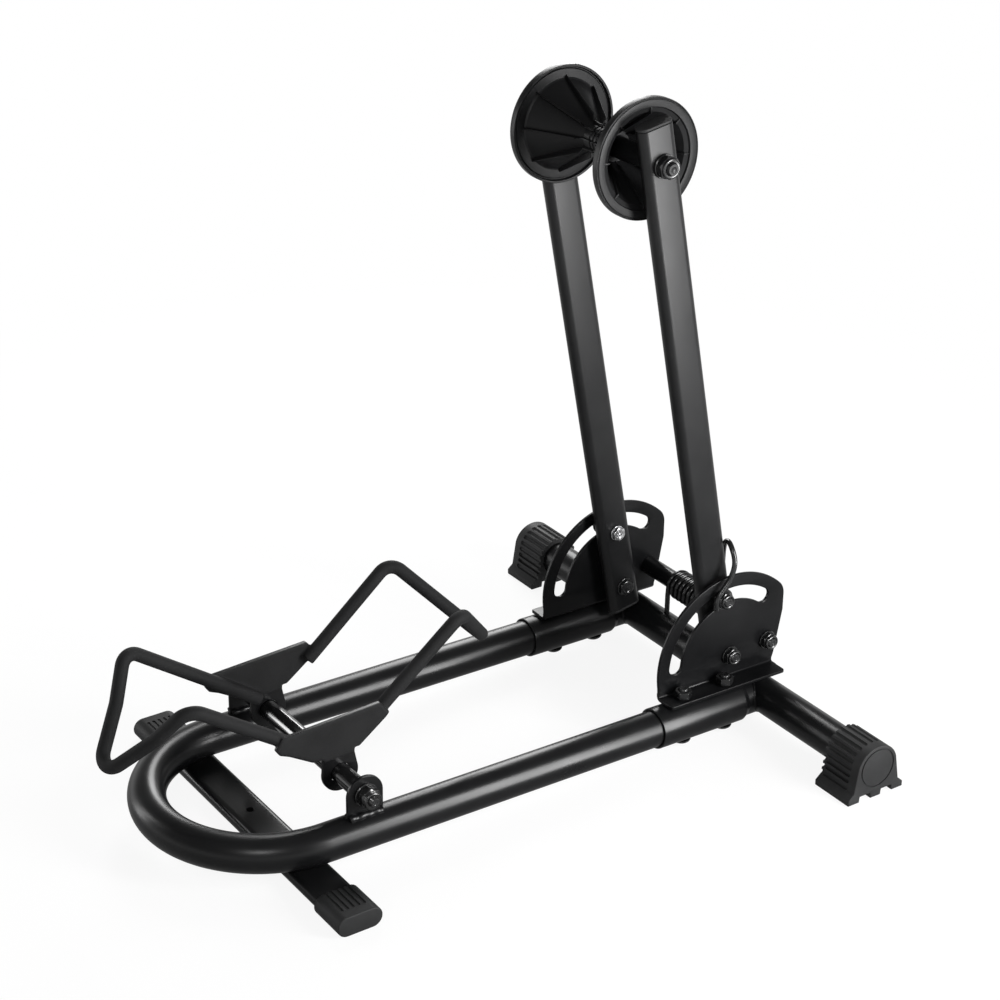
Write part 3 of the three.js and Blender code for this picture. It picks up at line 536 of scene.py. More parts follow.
legs = {
    "radius": 15.1, "halfSpacing": 91.8, "bendY": -417.3, "rearY": -30, "axisHeight": 23.1, "bendSteps": 72,
}
crossTube = {"radius": 15, "halfLength": 235, "height": 25.5}
frontBar = {"width": 33, "height": 11.8, "halfLength": 164, "y": -432, "holeRadius": 3.2, "capWall": 2.5}
sleeve = {
    "radius": 17.1, "bore": 15.25, "frontY": -110, "neckY": -25, "neckRadius": 14.7, "neckRun": 5,
    "copeRadius": 15.05, "weldSize": 0.9, "weldRipple": 0.1, "weldRippleLength": 3.6,
}

barCentre = frontBar["capWall"] + frontBar["height"] / 2
rise = math.asin((frontBar["capWall"] + frontBar["height"] + seatGap + legs["radius"] - legs["axisHeight"])
                 / -frontBar["y"])
footLow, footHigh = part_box("rear_foot_right")
rackPlace = Matrix.Translation((0, (footLow.y + footHigh.y) / 2, 0)) @ Matrix.Scale(0.001, 4)
basePlace = (rackPlace @ Matrix.Translation((0, 0, legs["axisHeight"]))
             @ Matrix.Rotation(-rise, 4, "X"))
crossRise = crossTube["height"] - legs["axisHeight"]


def legLine():
    half, bend = legs["halfSpacing"], legs["bendY"]
    line = [(half, legs["rearY"], 0)]
    for x, y in arc((0, bend), half, 0, -180, legs["bendSteps"]):
        line.append((x, y, 0))
    return line + [(-half, legs["rearY"], 0)]


fitted("legTube", tube(legLine(), legs["radius"], 64), basePlace, glossCoat, "frame", ["u_tube"])


def sleeveShape():
    s = sleeve
    wall = s["radius"] - s["bore"]
    profile = softened([
        (s["frontY"], s["bore"]), (s["frontY"], s["radius"]), (s["neckY"], s["radius"]),
        (s["neckY"] + s["neckRun"], s["neckRadius"]), (0, s["neckRadius"]), (0, s["neckRadius"] - wall),
        (s["neckY"] + s["neckRun"], s["neckRadius"] - wall), (s["neckY"], s["bore"]),
    ], 0.6, 3)
    mesh = moved(spun(turned(profile, 72, bored=True), 90, "Z"), legs["halfSpacing"], 0, 0)
    cope = rod(-160, 160, s["copeRadius"])
    return combined(mesh, [moved(cope, 0, 0, crossRise)])


def neckWeld():
    # the bead where a sleeve's neck meets the cross tube
    s = sleeve
    line = []
    for i in range(96):
        angle = 2 * math.pi * i / 96
        z = s["neckRadius"] * math.sin(angle)
        y = -math.sqrt(max(crossTube["radius"] ** 2 - (z - crossRise) ** 2, 1))
        line.append((legs["halfSpacing"] + s["neckRadius"] * math.cos(angle), y + 0.1, z))
    return tube(line, s["weldSize"], 14, glossCoat, True, s["weldRipple"], s["weldRippleLength"])


sleeveMesh, weldMesh = sleeveShape(), neckWeld()
for label, side in sides:
    place = onSide(basePlace, side)
    fitted(f"sleeve_{label}", sleeveMesh.copy(), place, glossCoat, "frame", [f"sleeve_{label}"])
    fitted(f"neckWeld_{label}", weldMesh.copy(), place, glossCoat, "frame", crease=60)

spacer = {"radius": 8, "bore": 4.5, "behindPivot": 39.3, "abovePivot": 3}
pivot = {"y": -25.9, "z": 39.9}
spring = {"wire": 2.2, "clearance": 0.8, "pitch": 5.6, "turns": 13, "leftX": -37, "stepsPerTurn": 40}
spacerY, spacerZ = pivot["y"] + spacer["behindPivot"], pivot["z"] + spacer["abovePivot"]
coilRadius = spacer["radius"] + spring["clearance"] + spring["wire"]


def crossShape():
    c = crossTube
    mesh = turned([(-c["halfLength"], 0), (-c["halfLength"], c["radius"] - 0.5),
                   (-c["halfLength"] + 0.5, c["radius"]), (c["halfLength"] - 0.5, c["radius"]),
                   (c["halfLength"], c["radius"] - 0.5), (c["halfLength"], 0)], 72)
    drill = spun(rod(0, 30, spring["wire"] + 0.2, 24), -90, "Y")
    return combined(mesh, [moved(drill, spring["leftX"], spacerY - coilRadius, 0)])


fitted("crossTube", crossShape(), basePlace @ Matrix.Translation((0, 0, crossRise)), glossCoat, "frame",
       ["rear_cross_tube"])


def barShape():
    b = frontBar
    mesh = slabX(oval(b["width"], b["height"], 20), [], -b["halfLength"], b["halfLength"], 0.3)
    drill = spun(rod(0, 20, b["holeRadius"], 32), -90, "Y")
    return combined(mesh, [drill])


barPlace = rackPlace @ Matrix.Translation((0, frontBar["y"], barCentre))
fitted("frontBar", barShape(), barPlace, glossCoat, "frame", ["front_crossbar"])
print("base made")

# Plastic feet and end caps.

foot = {
    "length": 40.3, "endWall": 5, "archRadius": 20.5, "halfWidth": 28.5, "lipHeight": 4.8,
    "waistHalfWidth": 23.4, "waistHeight": 9.2, "padHalfWidth": 5.3, "notchWidth": 11.7, "notchDepth": 5,
    "grooveRadius": 2.05, "grooveSink": 0.3, "grooveStop": 8, "grooveCount": 13, "groovePitch": 16.5,
    "flankGrooves": (3.1, 9.0), "discRadius": 16.4, "discHeight": 1.2, "socketRadius": 15.4,
}


def footOutline():
    f = foot
    shoulder = math.degrees(math.atan2(6, 20))
    points = [(-f["halfWidth"], 0)]
    for start, end in ((-f["padHalfWidth"] - f["notchWidth"], -f["padHalfWidth"]),
                       (f["padHalfWidth"], f["padHalfWidth"] + f["notchWidth"])):
        points += [(start, 0), (start + 0.5, f["notchDepth"]), (end - 0.5, f["notchDepth"]), (end, 0)]
    points += [(f["halfWidth"], 0), (f["halfWidth"], f["lipHeight"]), (f["waistHalfWidth"], f["waistHeight"])]
    points += arc((0, crossTube["height"]), f["archRadius"], shoulder, 180 - shoulder, 40)
    points += [(-f["waistHalfWidth"], f["waistHeight"]), (-f["halfWidth"], f["lipHeight"])]
    return softened(points, 0.7, 3)


def footShape():
    f = foot
    outer = crossTube["halfLength"] + seatGap + f["endWall"]
    inner = outer - f["length"]
    body = slabX(footOutline(), [], inner, outer, 0.8, 3)
    moved(body, 0, 0, -crossTube["height"])
    socketEnd = crossTube["halfLength"] + seatGap
    socket = rod(inner - 5, socketEnd, f["socketRadius"])
    disc = f["discRadius"]
    ring = turned([(outer - 0.8, disc - 0.55), (outer - 0.8, disc + 0.55), (outer + 1, disc + 0.9),
                   (outer + 1, disc - 0.9)], 72, bored=True)
    body = combined(body, [socket, moved(ring, 0, 0, f["discHeight"])])
    # round-bottomed grooves: fanned over the arch, then down both flanks
    end, r = inner + f["length"] - f["grooveStop"], f["grooveRadius"]
    tip = [(end - r + r * math.sin(a), r * math.cos(a)) for a in (0, 0.3, 0.6, 0.9, 1.2, 1.4)]
    cutter = turned([(inner - 6, 0), (inner - 6, r), *tip, (end, 0)], 20)
    reach = f["archRadius"] + f["grooveSink"]
    seats = []
    for i in range(f["grooveCount"]):
        tilt = (i - (f["grooveCount"] - 1) / 2) * f["groovePitch"]
        angle = math.radians(tilt)
        seats.append(((0, reach * math.sin(angle), reach * math.cos(angle)), (-tilt, 0, 0)))
    top, waist = (f["archRadius"] * 0.958, -6), (f["waistHalfWidth"], f["waistHeight"] - crossTube["height"])
    length = math.hypot(waist[0] - top[0], waist[1] - top[1])
    for down in f["flankGrooves"]:
        y = top[0] + (waist[0] - top[0]) * down / length + f["grooveSink"]
        z = top[1] + (waist[1] - top[1]) * down / length
        seats += [((0, way * y, z), 0) for way in (1, -1)]
    return combined(body, [onSeats(cutter, seats, footMoulding)])


footMesh = footShape()
footPlace = rackPlace @ Matrix.Translation((0, 0, crossTube["height"]))
for label, side in sides:
    fitted(f"foot_{label}", footMesh.copy(), onSide(footPlace, side), footMoulding, "frame",
           [f"rear_foot_{label}"], 30)

cap = {
    "wall": 2.5, "length": 35.8, "endWall": 3.3, "grooveCount": 5, "grooveWidth": 2.2, "grooveDepth": 0.95,
    "groovePitch": 4.7, "grooveStop": 9,
}


def capShape():
    c = cap
    width, height = frontBar["width"] + 2 * c["wall"], frontBar["height"] + 2 * c["wall"]
    outer = frontBar["halfLength"] + seatGap + c["endWall"]
    inner = outer - c["length"]
    body = slabX(oval(width, height, 24), [], inner, outer, 1.2, 3)
    pocket = slabX(oval(frontBar["width"] + 0.6, frontBar["height"] + 0.6, 20), [], inner - 5,
                   frontBar["halfLength"] + seatGap, 0.1)
    body = combined(body, [pocket])
    half, stop = c["grooveWidth"] / 2, outer - c["grooveStop"]
    run = softened([(inner - 4, -half), (stop, -half), (stop, half), (inner - 4, half)], 1.05, 5)
    cutter = slab(run, [], 2 * c["grooveDepth"], 0.3, 1)
    first = -c["groovePitch"] * (c["grooveCount"] - 1) / 2
    for top in (1, -1):
        body = repeated(body, rowRule, cutter.copy(), {
            "Count": c["grooveCount"], "Start": (0, first, top * height / 2),
            "Step": (0, c["groovePitch"], 0), "Finish": footMoulding})
    return body


capMesh = capShape()
for label, side in sides:
    fitted(f"frontCap_{label}", capMesh.copy(), onSide(barPlace, side), footMoulding, "frame",
           [f"front_cap_{label}"], 30)
print("feet and caps made")

# Fasteners.

m8 = {"radius": 4, "hole": 4.3, "flats": 13, "nutHeight": 6.5, "washerRadius": 8, "washer": 1.6, "head": 4.6}
m10 = {
    "radius": 5, "flats": 16.5, "nutHeight": 8, "washerRadius": 9.5, "washer": 1.8, "standout": 2.2,
    "spacerStart": 58.9, "spacerRadius": 8,
}


def hexRule(flats, limit):
    def reach(angle):
        off = (angle + math.pi / 6) % (math.pi / 3) - math.pi / 6
        return min(flats / 2 / math.cos(off), limit)
    return reach


def hexRun(start, end, flats):
    # the outside of a hexagon with both ends chamfered
    steps = (0, 0.2, 0.4, 0.6, 0.8)
    way = 1 if end > start else -1
    near = [(start + way * t, hexRule(flats, flats * 0.478 + t * 1.73)) for t in steps]
    far = [(end - way * t, hexRule(flats, flats * 0.478 + t * 1.73)) for t in reversed(steps)]
    return near + far


def washerRun(start, thickness, radius):
    return [(start, radius - 0.35), (start + 0.3, radius), (start + thickness - 0.35, radius),
            (start + thickness, radius - 0.35)]


def lockNut(flats, height, washerRadius, washer, bore, collar=0.4):
    # washer, hexagon and the rounded collar that holds the locking ring
    hexEnd = washer + height * (1 - collar)
    top = washer + height
    ring = flats * 0.485
    profile = [(0, bore), *washerRun(0, washer, washerRadius), (washer, flats * 0.47)]
    profile += hexRun(washer + 0.02, hexEnd, flats)
    profile += [(hexEnd + 0.05, ring), (top - 0.8, ring - 0.1), (top - 0.2, ring - 0.55), (top, ring - 1.1),
                (top - 0.35, ring - 1.35), (top - 0.5, bore + 0.3), (top - 0.8, bore)]
    return turned(profile, 72, bored=True)


def plainNut(flats, height, bore):
    profile = [(0, bore), *hexRun(0, height, flats), (height, bore + 0.5), (height - 0.5, bore)]
    return turned(profile, 72, bored=True)


def threadRun(start, end, radius, pitch=1.25):
    # from the tip inwards: chamfer, then crests and roots
    way = 1 if end > start else -1
    run = [(start + way * 0.25, radius * 0.42), (start, radius * 0.5), (start, radius - 0.75),
           (start + way * 0.55, radius - 0.12)]
    x = start + way * 0.8
    while abs(x - start) < abs(end - start) - pitch:
        run += [(x, radius), (x + way * pitch * 0.5, radius - 0.5), (x + way * pitch * 0.92, radius)]
        x += way * pitch
    return run


def hexBolt(tip, headAt, radius, flats, head, washerRadius, threaded=12):
    # a bolt along X: thread at the tip, plain shank, and a washer under a hexagon head
    way = 1 if headAt > tip else -1
    profile = [(tip + way * 0.3, 0), *threadRun(tip, tip + way * threaded, radius), (headAt, radius)]
    profile += [(headAt, washerRadius - 0.3), (headAt + way * 0.3, washerRadius),
                (headAt + way * 1.1, washerRadius), (headAt + way * 1.4, washerRadius - 0.4),
                (headAt + way * 1.4, flats * 0.47)]
    top = headAt + way * head
    profile += hexRun(headAt + way * 1.42, top, flats)
    profile += [(top, flats * 0.33), (top - way * 0.5, flats * 0.27), (top - way * 0.5, 0)]
    return turned(profile, 72)


plate = {
    "inner": 80, "thickness": 3, "radius": 73.4, "rearReach": 55.5, "rearTopZ": 27, "cornerRadius": 16,
    "frontY": -98, "rearY": 20.5, "flangeReach": 101, "bendRadius": 4.5, "edge": 0.75,
}
slotWay = {"radius": 56.2, "width": 12.4, "forward": 75, "backward": 46}
slotBolt = {"flats": 11, "washerRadius": 6.4, "brightHead": 0.2}
bushRing = {"bore": 4.2, "pivotRadius": 7.5, "slotRadius": 5.8}
arm = {
    "width": 31, "thickness": 13, "centre": 69.2, "below": 21.2, "above": 30, "toAxle": 439.6, "lean": 11.2,
}
plateOuter = plate["inner"] + plate["thickness"]
flangeBottom = sleeve["radius"] + seatGap
flangeTop = flangeBottom + plate["thickness"]
armInner, armOuter = arm["centre"] - arm["thickness"] / 2, arm["centre"] + arm["thickness"] / 2
pivotPlace = basePlace @ Matrix.Translation((0, pivot["y"], pivot["z"]))
spacerPlace = basePlace @ Matrix.Translation((0, spacerY, spacerZ))
armPlace = pivotPlace @ Matrix.Rotation(math.radians(arm["lean"]), 4, "X")
slotPlace = armPlace @ Matrix.Translation((0, 0, slotWay["radius"]))
axlePlace = armPlace @ Matrix.Translation((0, 0, arm["toAxle"]))
nutSeat = plateOuter + seatGap
boltTip = nutSeat + m8["washer"] + m8["nutHeight"] + 0.5

plateNut = lockNut(m8["flats"], m8["nutHeight"], m8["washerRadius"], m8["washer"], m8["radius"] + 0.1)
fittedPair("pivotNuts", plateNut.copy(), nutSeat, pivotPlace, boltCoat, "frame", ["pivot_nut"])
fitted("spacerNut", onSeats(plateNut.copy(), [((nutSeat, 0, 0), 0)], boltCoat), spacerPlace, boltCoat,
       "frame", ["spacer_nut"], 30)
slotNut = lockNut(m8["flats"], m8["nutHeight"], m8["washerRadius"] + 1, m8["washer"], m8["radius"] + 0.1)
slotSeat = nutSeat + seatGap
fittedPair("slotNuts", slotNut, slotSeat, slotPlace, boltCoat, "arms", ["slot_nut"])
flangeY = (-80, -37)


def onFlanges(name, part, height, stem):
    seats = [((side * legs["halfSpacing"], y, height), 0) for label, side in sides for y in flangeY]
    nodes = [f"{stem}_{label}_{end}" for label, side in sides for end in ("front", "rear")]
    fitted(name, onSeats(part, seats, boltCoat), basePlace, boltCoat, "frame", nodes, 30)


flangeNut = spun(plainNut(m8["flats"], m8["nutHeight"], m8["radius"] + 0.1), -90, "Y")
onFlanges("flangeNuts", flangeNut, flangeTop + seatGap, "flange_nut")


def carriageBolt():
    under = -sleeve["radius"] - seatGap
    tip = flangeTop + seatGap + m8["nutHeight"] + 2
    dome = [(under - 4, 0), (under - 3.9, 2), (under - 3.5, 4.2), (under - 2.7, 6.2), (under - 1.6, 7.5),
            (under - 0.6, 8), (under, 7.9), (under, 4)]
    profile = dome + list(reversed(threadRun(tip, tip - 12, m8["radius"]))) + [(tip - 0.25, 0)]
    return spun(turned(profile, 48), -90, "Y")


onFlanges("flangeBolts", carriageBolt(), 0, "flange_bolt")
pivotBolt = hexBolt(boltTip, armInner - seatGap, m8["radius"], m8["flats"], m8["head"], m8["washerRadius"])
fittedPair("pivotBolts", pivotBolt, 0, pivotPlace, boltCoat, "frame", ["pivot_bolt"])
spacerHalf = plate["inner"] - seatGap
pivotBush = ringOf(armOuter + seatGap, spacerHalf, bushRing["bore"], bushRing["pivotRadius"], 0.4, 48)
fittedPair("pivotBushes", pivotBush, 0, pivotPlace, boltCoat, "frame", ["pivot_bush"], 34)
fitted("spacerTube", ringOf(-spacerHalf, spacerHalf, spacer["bore"], spacer["radius"], 0.4, 64), spacerPlace,
       glossCoat, "frame", ["spacer_tube"])
spacerBolt = hexBolt(boltTip, -nutSeat, m8["radius"], m8["flats"], m8["head"] + 1, m8["washerRadius"])
fitted("spacerBolt", spacerBolt, spacerPlace, boltCoat, "frame", ["spacer_bolt"], 30)

slotTip = slotSeat + m8["washer"] + m8["nutHeight"] + 0.5
slotBoltMesh = hexBolt(slotTip, armInner - seatGap, m8["radius"], slotBolt["flats"], m8["head"],
                       slotBolt["washerRadius"])
fitted("slotBoltRight", slotBoltMesh, slotPlace, boltCoat, "arms", ["slot_bolt_right"], 30)


def crossHeadBolt():
    # a bright hexagon-headed screw with a cross recess
    inner, extra = armInner - seatGap, slotBolt["brightHead"]
    mesh = hexBolt(slotTip, inner, m8["radius"], slotBolt["flats"], m8["head"] + extra,
                   slotBolt["washerRadius"] + extra)
    blades = []
    for turn in (20, 110):
        blade = slab(softened([(-2.9, -0.6), (2.9, -0.6), (2.9, 0.6), (-2.9, 0.6)], 0.4, 2), [], 4.4, 0.1, 1)
        blade.transform(acrossX)
        blades.append(moved(spun(blade, turn, "X"), inner - m8["head"] - extra, 0, 0))
    return spun(combined(mesh, blades), 180, "Z")


fitted("slotBoltLeft", crossHeadBolt(), slotPlace, zincPlate, "arms", ["slot_bolt_left"], 30)
slotBush = ringOf(armOuter + seatGap, nutSeat, bushRing["bore"], bushRing["slotRadius"], 0.3, 48)
fittedPair("slotBushes", slotBush, 0, slotPlace, boltCoat, "arms", ["slot_bush"], 34)
print("fasteners made")

# Side plates.


def slotOutline():
    front = 90 + arm["lean"] + slotWay["forward"]
    rear = 90 + arm["lean"] - slotWay["backward"]
    middle = (pivot["y"], pivot["z"])
    half = slotWay["width"] / 2

    def end(angle):
        return arc(middle, slotWay["radius"], angle, angle, 1)[0]
    outline = arc(middle, slotWay["radius"] + half, rear, front, 60)
    outline += arc(end(front), half, front, front + 180, 16)[1:]
    outline += arc(middle, slotWay["radius"] - half, front, rear, 60)[1:]
    return outline + arc(end(rear), half, rear + 180, rear + 360, 16)[1:-1]


def webOutline():
    p = plate
    bottom = flangeBottom + p["bendRadius"]
    middle = (pivot["y"], pivot["z"])
    frontAngle = 180 + math.degrees(math.asin((pivot["z"] - bottom - 6) / p["radius"]))
    cornerY = pivot["y"] + p["rearReach"] - p["cornerRadius"]
    reach = p["radius"] - p["cornerRadius"]
    rearAngle = math.degrees(math.acos((cornerY - pivot["y"]) / reach))
    corner = (cornerY, pivot["z"] + reach * math.sin(math.radians(rearAngle)))
    outline = [(p["frontY"], bottom), (p["rearY"], bottom), (p["rearY"] + 2, bottom + 6),
               (corner[0] + p["cornerRadius"], pivot["z"] + p["rearTopZ"])]
    outline += arc(corner, p["cornerRadius"], 0, rearAngle, 14)
    return outline + arc(middle, p["radius"], rearAngle, frontAngle, 90)[1:]


def plateShape():
    p = plate
    holes = [slotOutline()]
    for place in ((pivot["y"], pivot["z"]), (spacerY, spacerZ)):
        holes.append(arc(place, m8["hole"], 0, 345, 23))
    web = slabX(webOutline(), holes, p["inner"], plateOuter, p["edge"], 3)
    # the bend below the web, then the flat flange with its rounded corners
    webTop = flangeBottom + p["bendRadius"] + 2
    turn = arc((plateOuter + 1.5, flangeTop + 1.5), 1.5, 270, 180, 8)
    outer = arc((p["inner"] + p["bendRadius"], flangeBottom + p["bendRadius"]), p["bendRadius"], 180, 270, 12)
    bend = [(plateOuter + 6, flangeBottom), (plateOuter + 6, flangeTop), *turn, (plateOuter, webTop),
            (p["inner"], webTop), *outer]
    strip = slab(bend, [], p["rearY"] - p["frontY"], 0.02, 1)
    strip.transform(acrossY)
    strip.flip_normals()
    moved(strip, 0, (p["rearY"] + p["frontY"]) / 2, 0)
    plan = softened([(plateOuter + 3, p["frontY"]), (p["flangeReach"], p["frontY"]),
                     (p["flangeReach"], p["rearY"]), (plateOuter + 3, p["rearY"])], 2.6, 5)
    flange = slab(plan, [], p["thickness"], p["edge"], 3)
    moved(flange, 0, 0, (flangeBottom + flangeTop) / 2)
    return combined(web, [strip, flange], "UNION")


plateMesh = plateShape()
for label, side in sides:
    fitted(f"sidePlate_{label}", plateMesh.copy(), onSide(basePlace, side), shadedPlateCoat, "frame",
           [f"side_plate_{label}"], 28)
print("side plates made")

# Arms, plugs and axle.

armTop = arm["toAxle"] + arm["above"]
armOval = [(-y, x) for x, y in oval(arm["width"], arm["thickness"], 20)]
armMesh = slab(armOval, [], armTop + arm["below"], 0.3, 2)
moved(armMesh, arm["centre"], 0, (armTop - arm["below"]) / 2)
plugCap = {"height": 2.5, "crown": 0.9, "gap": 0.15}
plugMesh = slab(armOval, [], plugCap["height"], plugCap["crown"], 4)
moved(plugMesh, arm["centre"], 0, plugCap["height"] / 2)
for label, side in sides:
    place = onSide(armPlace, side)
    fitted(f"arm_{label}", armMesh.copy(), place, satinCoat, "arms", [f"arm_{label}"])
    up = place @ Matrix.Translation((0, 0, armTop + plugCap["gap"]))
    foot = place @ Matrix.Translation((0, 0, -arm["below"] - plugCap["gap"]))
    down = foot @ Matrix.Scale(-1, 4, (0, 0, 1))
    for end, spot in (("Top", up), ("Bottom", down)):
        fitted(f"plug{end}_{label}", plugMesh.copy(), spot, footMoulding, "arms",
               [f"arm_plug_{end.lower()}_{label}"])


def axleShape():
    end = armOuter + seatGap + m10["washer"] + m10["nutHeight"] + m10["standout"]
    half = threadRun(end, end - 14, m10["radius"], 1.5)
    other = [(-x, r) for x, r in reversed(half)]
    return turned([(end - 0.5, 0), *half, *other, (-end + 0.5, 0)], 48)


fitted("wheelAxle", axleShape(), axlePlace, satinCoat, "arms", ["wheel_axle"], 30, "black_fasteners")
axleSeat = armOuter + seatGap
axleNut = lockNut(m10["flats"], m10["nutHeight"], m10["washerRadius"], m10["washer"] + seatGap,
                  m10["radius"] + 0.1, 0.3)
fittedPair("axleNuts", axleNut, axleSeat, axlePlace, boltCoat, "arms", ["axle_nut", "axle_washer"])
axleSpacer = ringOf(m10["spacerStart"], armInner - seatGap, m10["radius"] + 0.2, m10["spacerRadius"], 0.4, 48)
fittedPair("axleSpacers", axleSpacer, 0, axlePlace, footMoulding, "arms", ["axle_spacer"], 34)
print("arms made")

# Cones.

cone = {"fins": 8, "finThickness": 1.3, "finTurn": -14.2, "mouthRibThickness": 1.2}


def coneShape(finTurn):
    c = cone
    profile = softened([
        (0.6, 5.3), (0.6, 10), (3.4, 10), (3.4, 9.2), (5, 9.2), (5, 10), (12, 10), (14, 11.5), (51.8, 35.2),
        (52.8, 36.6), (52.8, 43.2), (54, 43.8), (54, 44.7), (50.9, 45.1), (50.9, 47), (56.6, 47),
        (56.6, 46.2), (56, 45.9), (56, 45.3), (56.6, 45), (56.6, 39.5), (55.2, 38.9), (54.1, 35.4),
        (17.2, 11.9), (18, 8.4), (58.6, 8.4), (58.6, 5.3),
    ], 0.5, 3)
    shell = turned(profile, 96, bored=True)
    finEdge = softened([(13.6, 9), (53.3, 33.5), (53.3, 39), (13.6, 17.5)], 0.5, 2)
    fin = spun(slab(finEdge, [], c["finThickness"], 0.42, 3), 90, "X")
    hubEdge = softened([(1.6, 9), (13.8, 9), (13.8, 12.6), (1.6, 11.9)], 0.4, 2)
    hubRib = spun(slab(hubEdge, [], c["finThickness"], 0.35, 2), 90, "X")
    mouthEdge = softened([(55.9, 39.8), (55.9, 34.4), (24, 13.2), (20, 13.2), (53.9, 36.2)], 0.4, 2)
    mouthRib = spun(slab(mouthEdge, [], c["mouthRibThickness"], 0.3, 2), 90, "X")
    shape = ribbed(shell, joined(fin, hubRib), c["fins"], finTurn, coneMoulding)
    return ribbed(shape, mouthRib, c["fins"], finTurn, coneMoulding)


for label, side in sides:
    place = axlePlace @ Matrix.Rotation(math.pi, 4, "Z") if side < 0 else axlePlace
    fitted(f"cone_{label}", coneShape(side * cone["finTurn"]), place, coneMoulding, f"cone_{label}",
           [f"cone_{label}"], 30)
print("cones made")

# Cradle.

cradle = {
    "y": -383.5, "z": 32.5, "tubeRadius": 8, "tabThickness": 3, "tabRadius": 15.5, "tabOffset": 1.4,
    "rock": 2.8, "wingCentre": 56.5, "earRadius": 15.5, "wireRadius": 5.48,
    "frontStart": (10, 16, 49.4), "rearStart": (35.5, 34.8, 51), "bend": (117, 96.7), "bendX": 53,
    "frontKnee": (137.2, 67), "rearKnee": (139.2, 70.3), "kneeX": 32, "vertex": (173, 30),
    "bendRadii": (12, 8, 15, 8, 12), "sheet": 3.4, "coat": 4.7, "coatLine": 13.5, "voxel": 0.95,
    "weldSizes": (3.2, 2.6), "weldRipple": 0.045, "weldRippleLength": 7.5,
    "nutFlats": 15.5, "nutHeight": 10.6, "nutWasherRadius": 9.8, "nutCollar": 0.36, "boltReach": 14.4,
}
cradlePlace = basePlace @ Matrix.Translation((0, cradle["y"], cradle["z"]))
rockPlace = cradlePlace @ Matrix.Rotation(math.radians(cradle["rock"]), 4, "X")
tabCentre = legs["halfSpacing"] + cradle["tabOffset"]


def wireLine(toward):
    c = cradle

    def at(x, place):
        return (x, toward * place[0], place[1])
    start = c["frontStart"] if toward < 0 else c["rearStart"]
    knee = c["frontKnee"] if toward < 0 else c["rearKnee"]
    corners = [at(-start[2], start), at(-c["bendX"], c["bend"]), at(-c["kneeX"], knee), at(0, c["vertex"]),
               at(c["kneeX"], knee), at(c["bendX"], c["bend"]), at(start[2], start)]
    return bentPath(corners, c["bendRadii"], 18)


def wingOutline(bottom=None):
    c = cradle
    upper = [(-14, 16.5), (-23, 17.5), (-42, 30), (-50, 34), (-53, 39), (-47, 47.5), (38, 48.5), (46, 37.5),
             (42.5, 34), (18, 17.5), (12.8, 17.6)]
    start = math.degrees(math.atan2(4, 15))
    if bottom is not None:
        return softened([(14.6, bottom), *reversed(upper), (-14.4, bottom)], 2.5, 4)
    ear = arc((0, 0), c["earRadius"], start, -180 - start, 48)
    return ear + softened([ear[-1], *upper, ear[0]], 2.2, 4)[5:-5]


def cradleShapes():
    c = cradle
    tubeHole = arc((0, 0), c["tubeRadius"] + seatGap, 0, 345, 23)
    sheet = slabX(wingOutline(), [tubeHole], -c["sheet"] / 2, c["sheet"] / 2, 0.4, 2)
    skin = slabX(wingOutline(c["coatLine"]), [], -c["coat"] / 2, c["coat"] / 2, 1.1, 3)
    parts = [tube(wireLine(toward), c["wireRadius"], 32, dipCoat) for toward in (-1, 1)]
    parts += [moved(skin.copy(), side * c["wingCentre"], 0, 0) for label, side in sides]
    dipped = worked(joined(*parts), ("REMESH", {"mode": "VOXEL", "voxel_size": c["voxel"]}),
                    ("SMOOTH", {"factor": 0.5, "iterations": 6}))
    return sheet, dipped


sheetMesh, dippedMesh = cradleShapes()
fitted("dippedCradle", dippedMesh, rockPlace, dipCoat, "cradle",
       ["cradle_wire_front", "cradle_wire_rear", "cradle_wing_left", "cradle_wing_right"], 60)
for label, side in sides:
    place = rockPlace @ Matrix.Translation((side * cradle["wingCentre"], 0, 0))
    fitted(f"wingSheet_{label}", sheetMesh.copy(), place, glossCoat, "cradle")
tubeEnd = tabCentre - cradle["tabThickness"] / 2 - 0.6
fitted("cradleTube", ringOf(-tubeEnd, tubeEnd, m8["hole"], cradle["tubeRadius"], 0.5, 64), rockPlace, pinCoat,
       "cradle", ["cradle_tube"])


def tabShape():
    c = cradle
    low = legs["radius"] + seatGap - c["z"] - 1.2
    outline = arc((0, 0), c["tabRadius"], 0, 180, 40) + [(-c["tabRadius"], low), (c["tabRadius"], low)]
    hole = arc((0, 0), m8["hole"], 0, 345, 23)
    return slabX(outline, [hole], -c["tabThickness"] / 2, c["tabThickness"] / 2, 0.5, 3)


def tabWeld():
    # beads on both faces of a tab, down its foot along the leg
    c = cradle
    foot = legs["radius"] - c["z"]
    beads = []
    for face, size in zip((1, -1), c["weldSizes"]):
        x = face * (c["tabThickness"] / 2 + 0.7)
        drop = legs["radius"] - math.sqrt(legs["radius"] ** 2 - (x + c["tabOffset"]) ** 2)
        line = [(x, -14.5 + 29 * i / 60, foot - drop + 0.4 + 0.3 * math.sin(i * 0.31)) for i in range(61)]
        beads.append(tube(line, size, 16, glossCoat, False, c["weldRipple"], c["weldRippleLength"]))
    return joined(*beads)


tabMesh, tabBead = tabShape(), tabWeld()
for label, side in sides:
    place = onSide(cradlePlace, side) @ Matrix.Translation((tabCentre, 0, 0))
    fitted(f"cradleTab_{label}", tabMesh.copy(), place, glossCoat, "frame", [f"cradle_tab_{label}"])
    fitted(f"tabWeld_{label}", tabBead.copy(), place, glossCoat, "frame", crease=60)

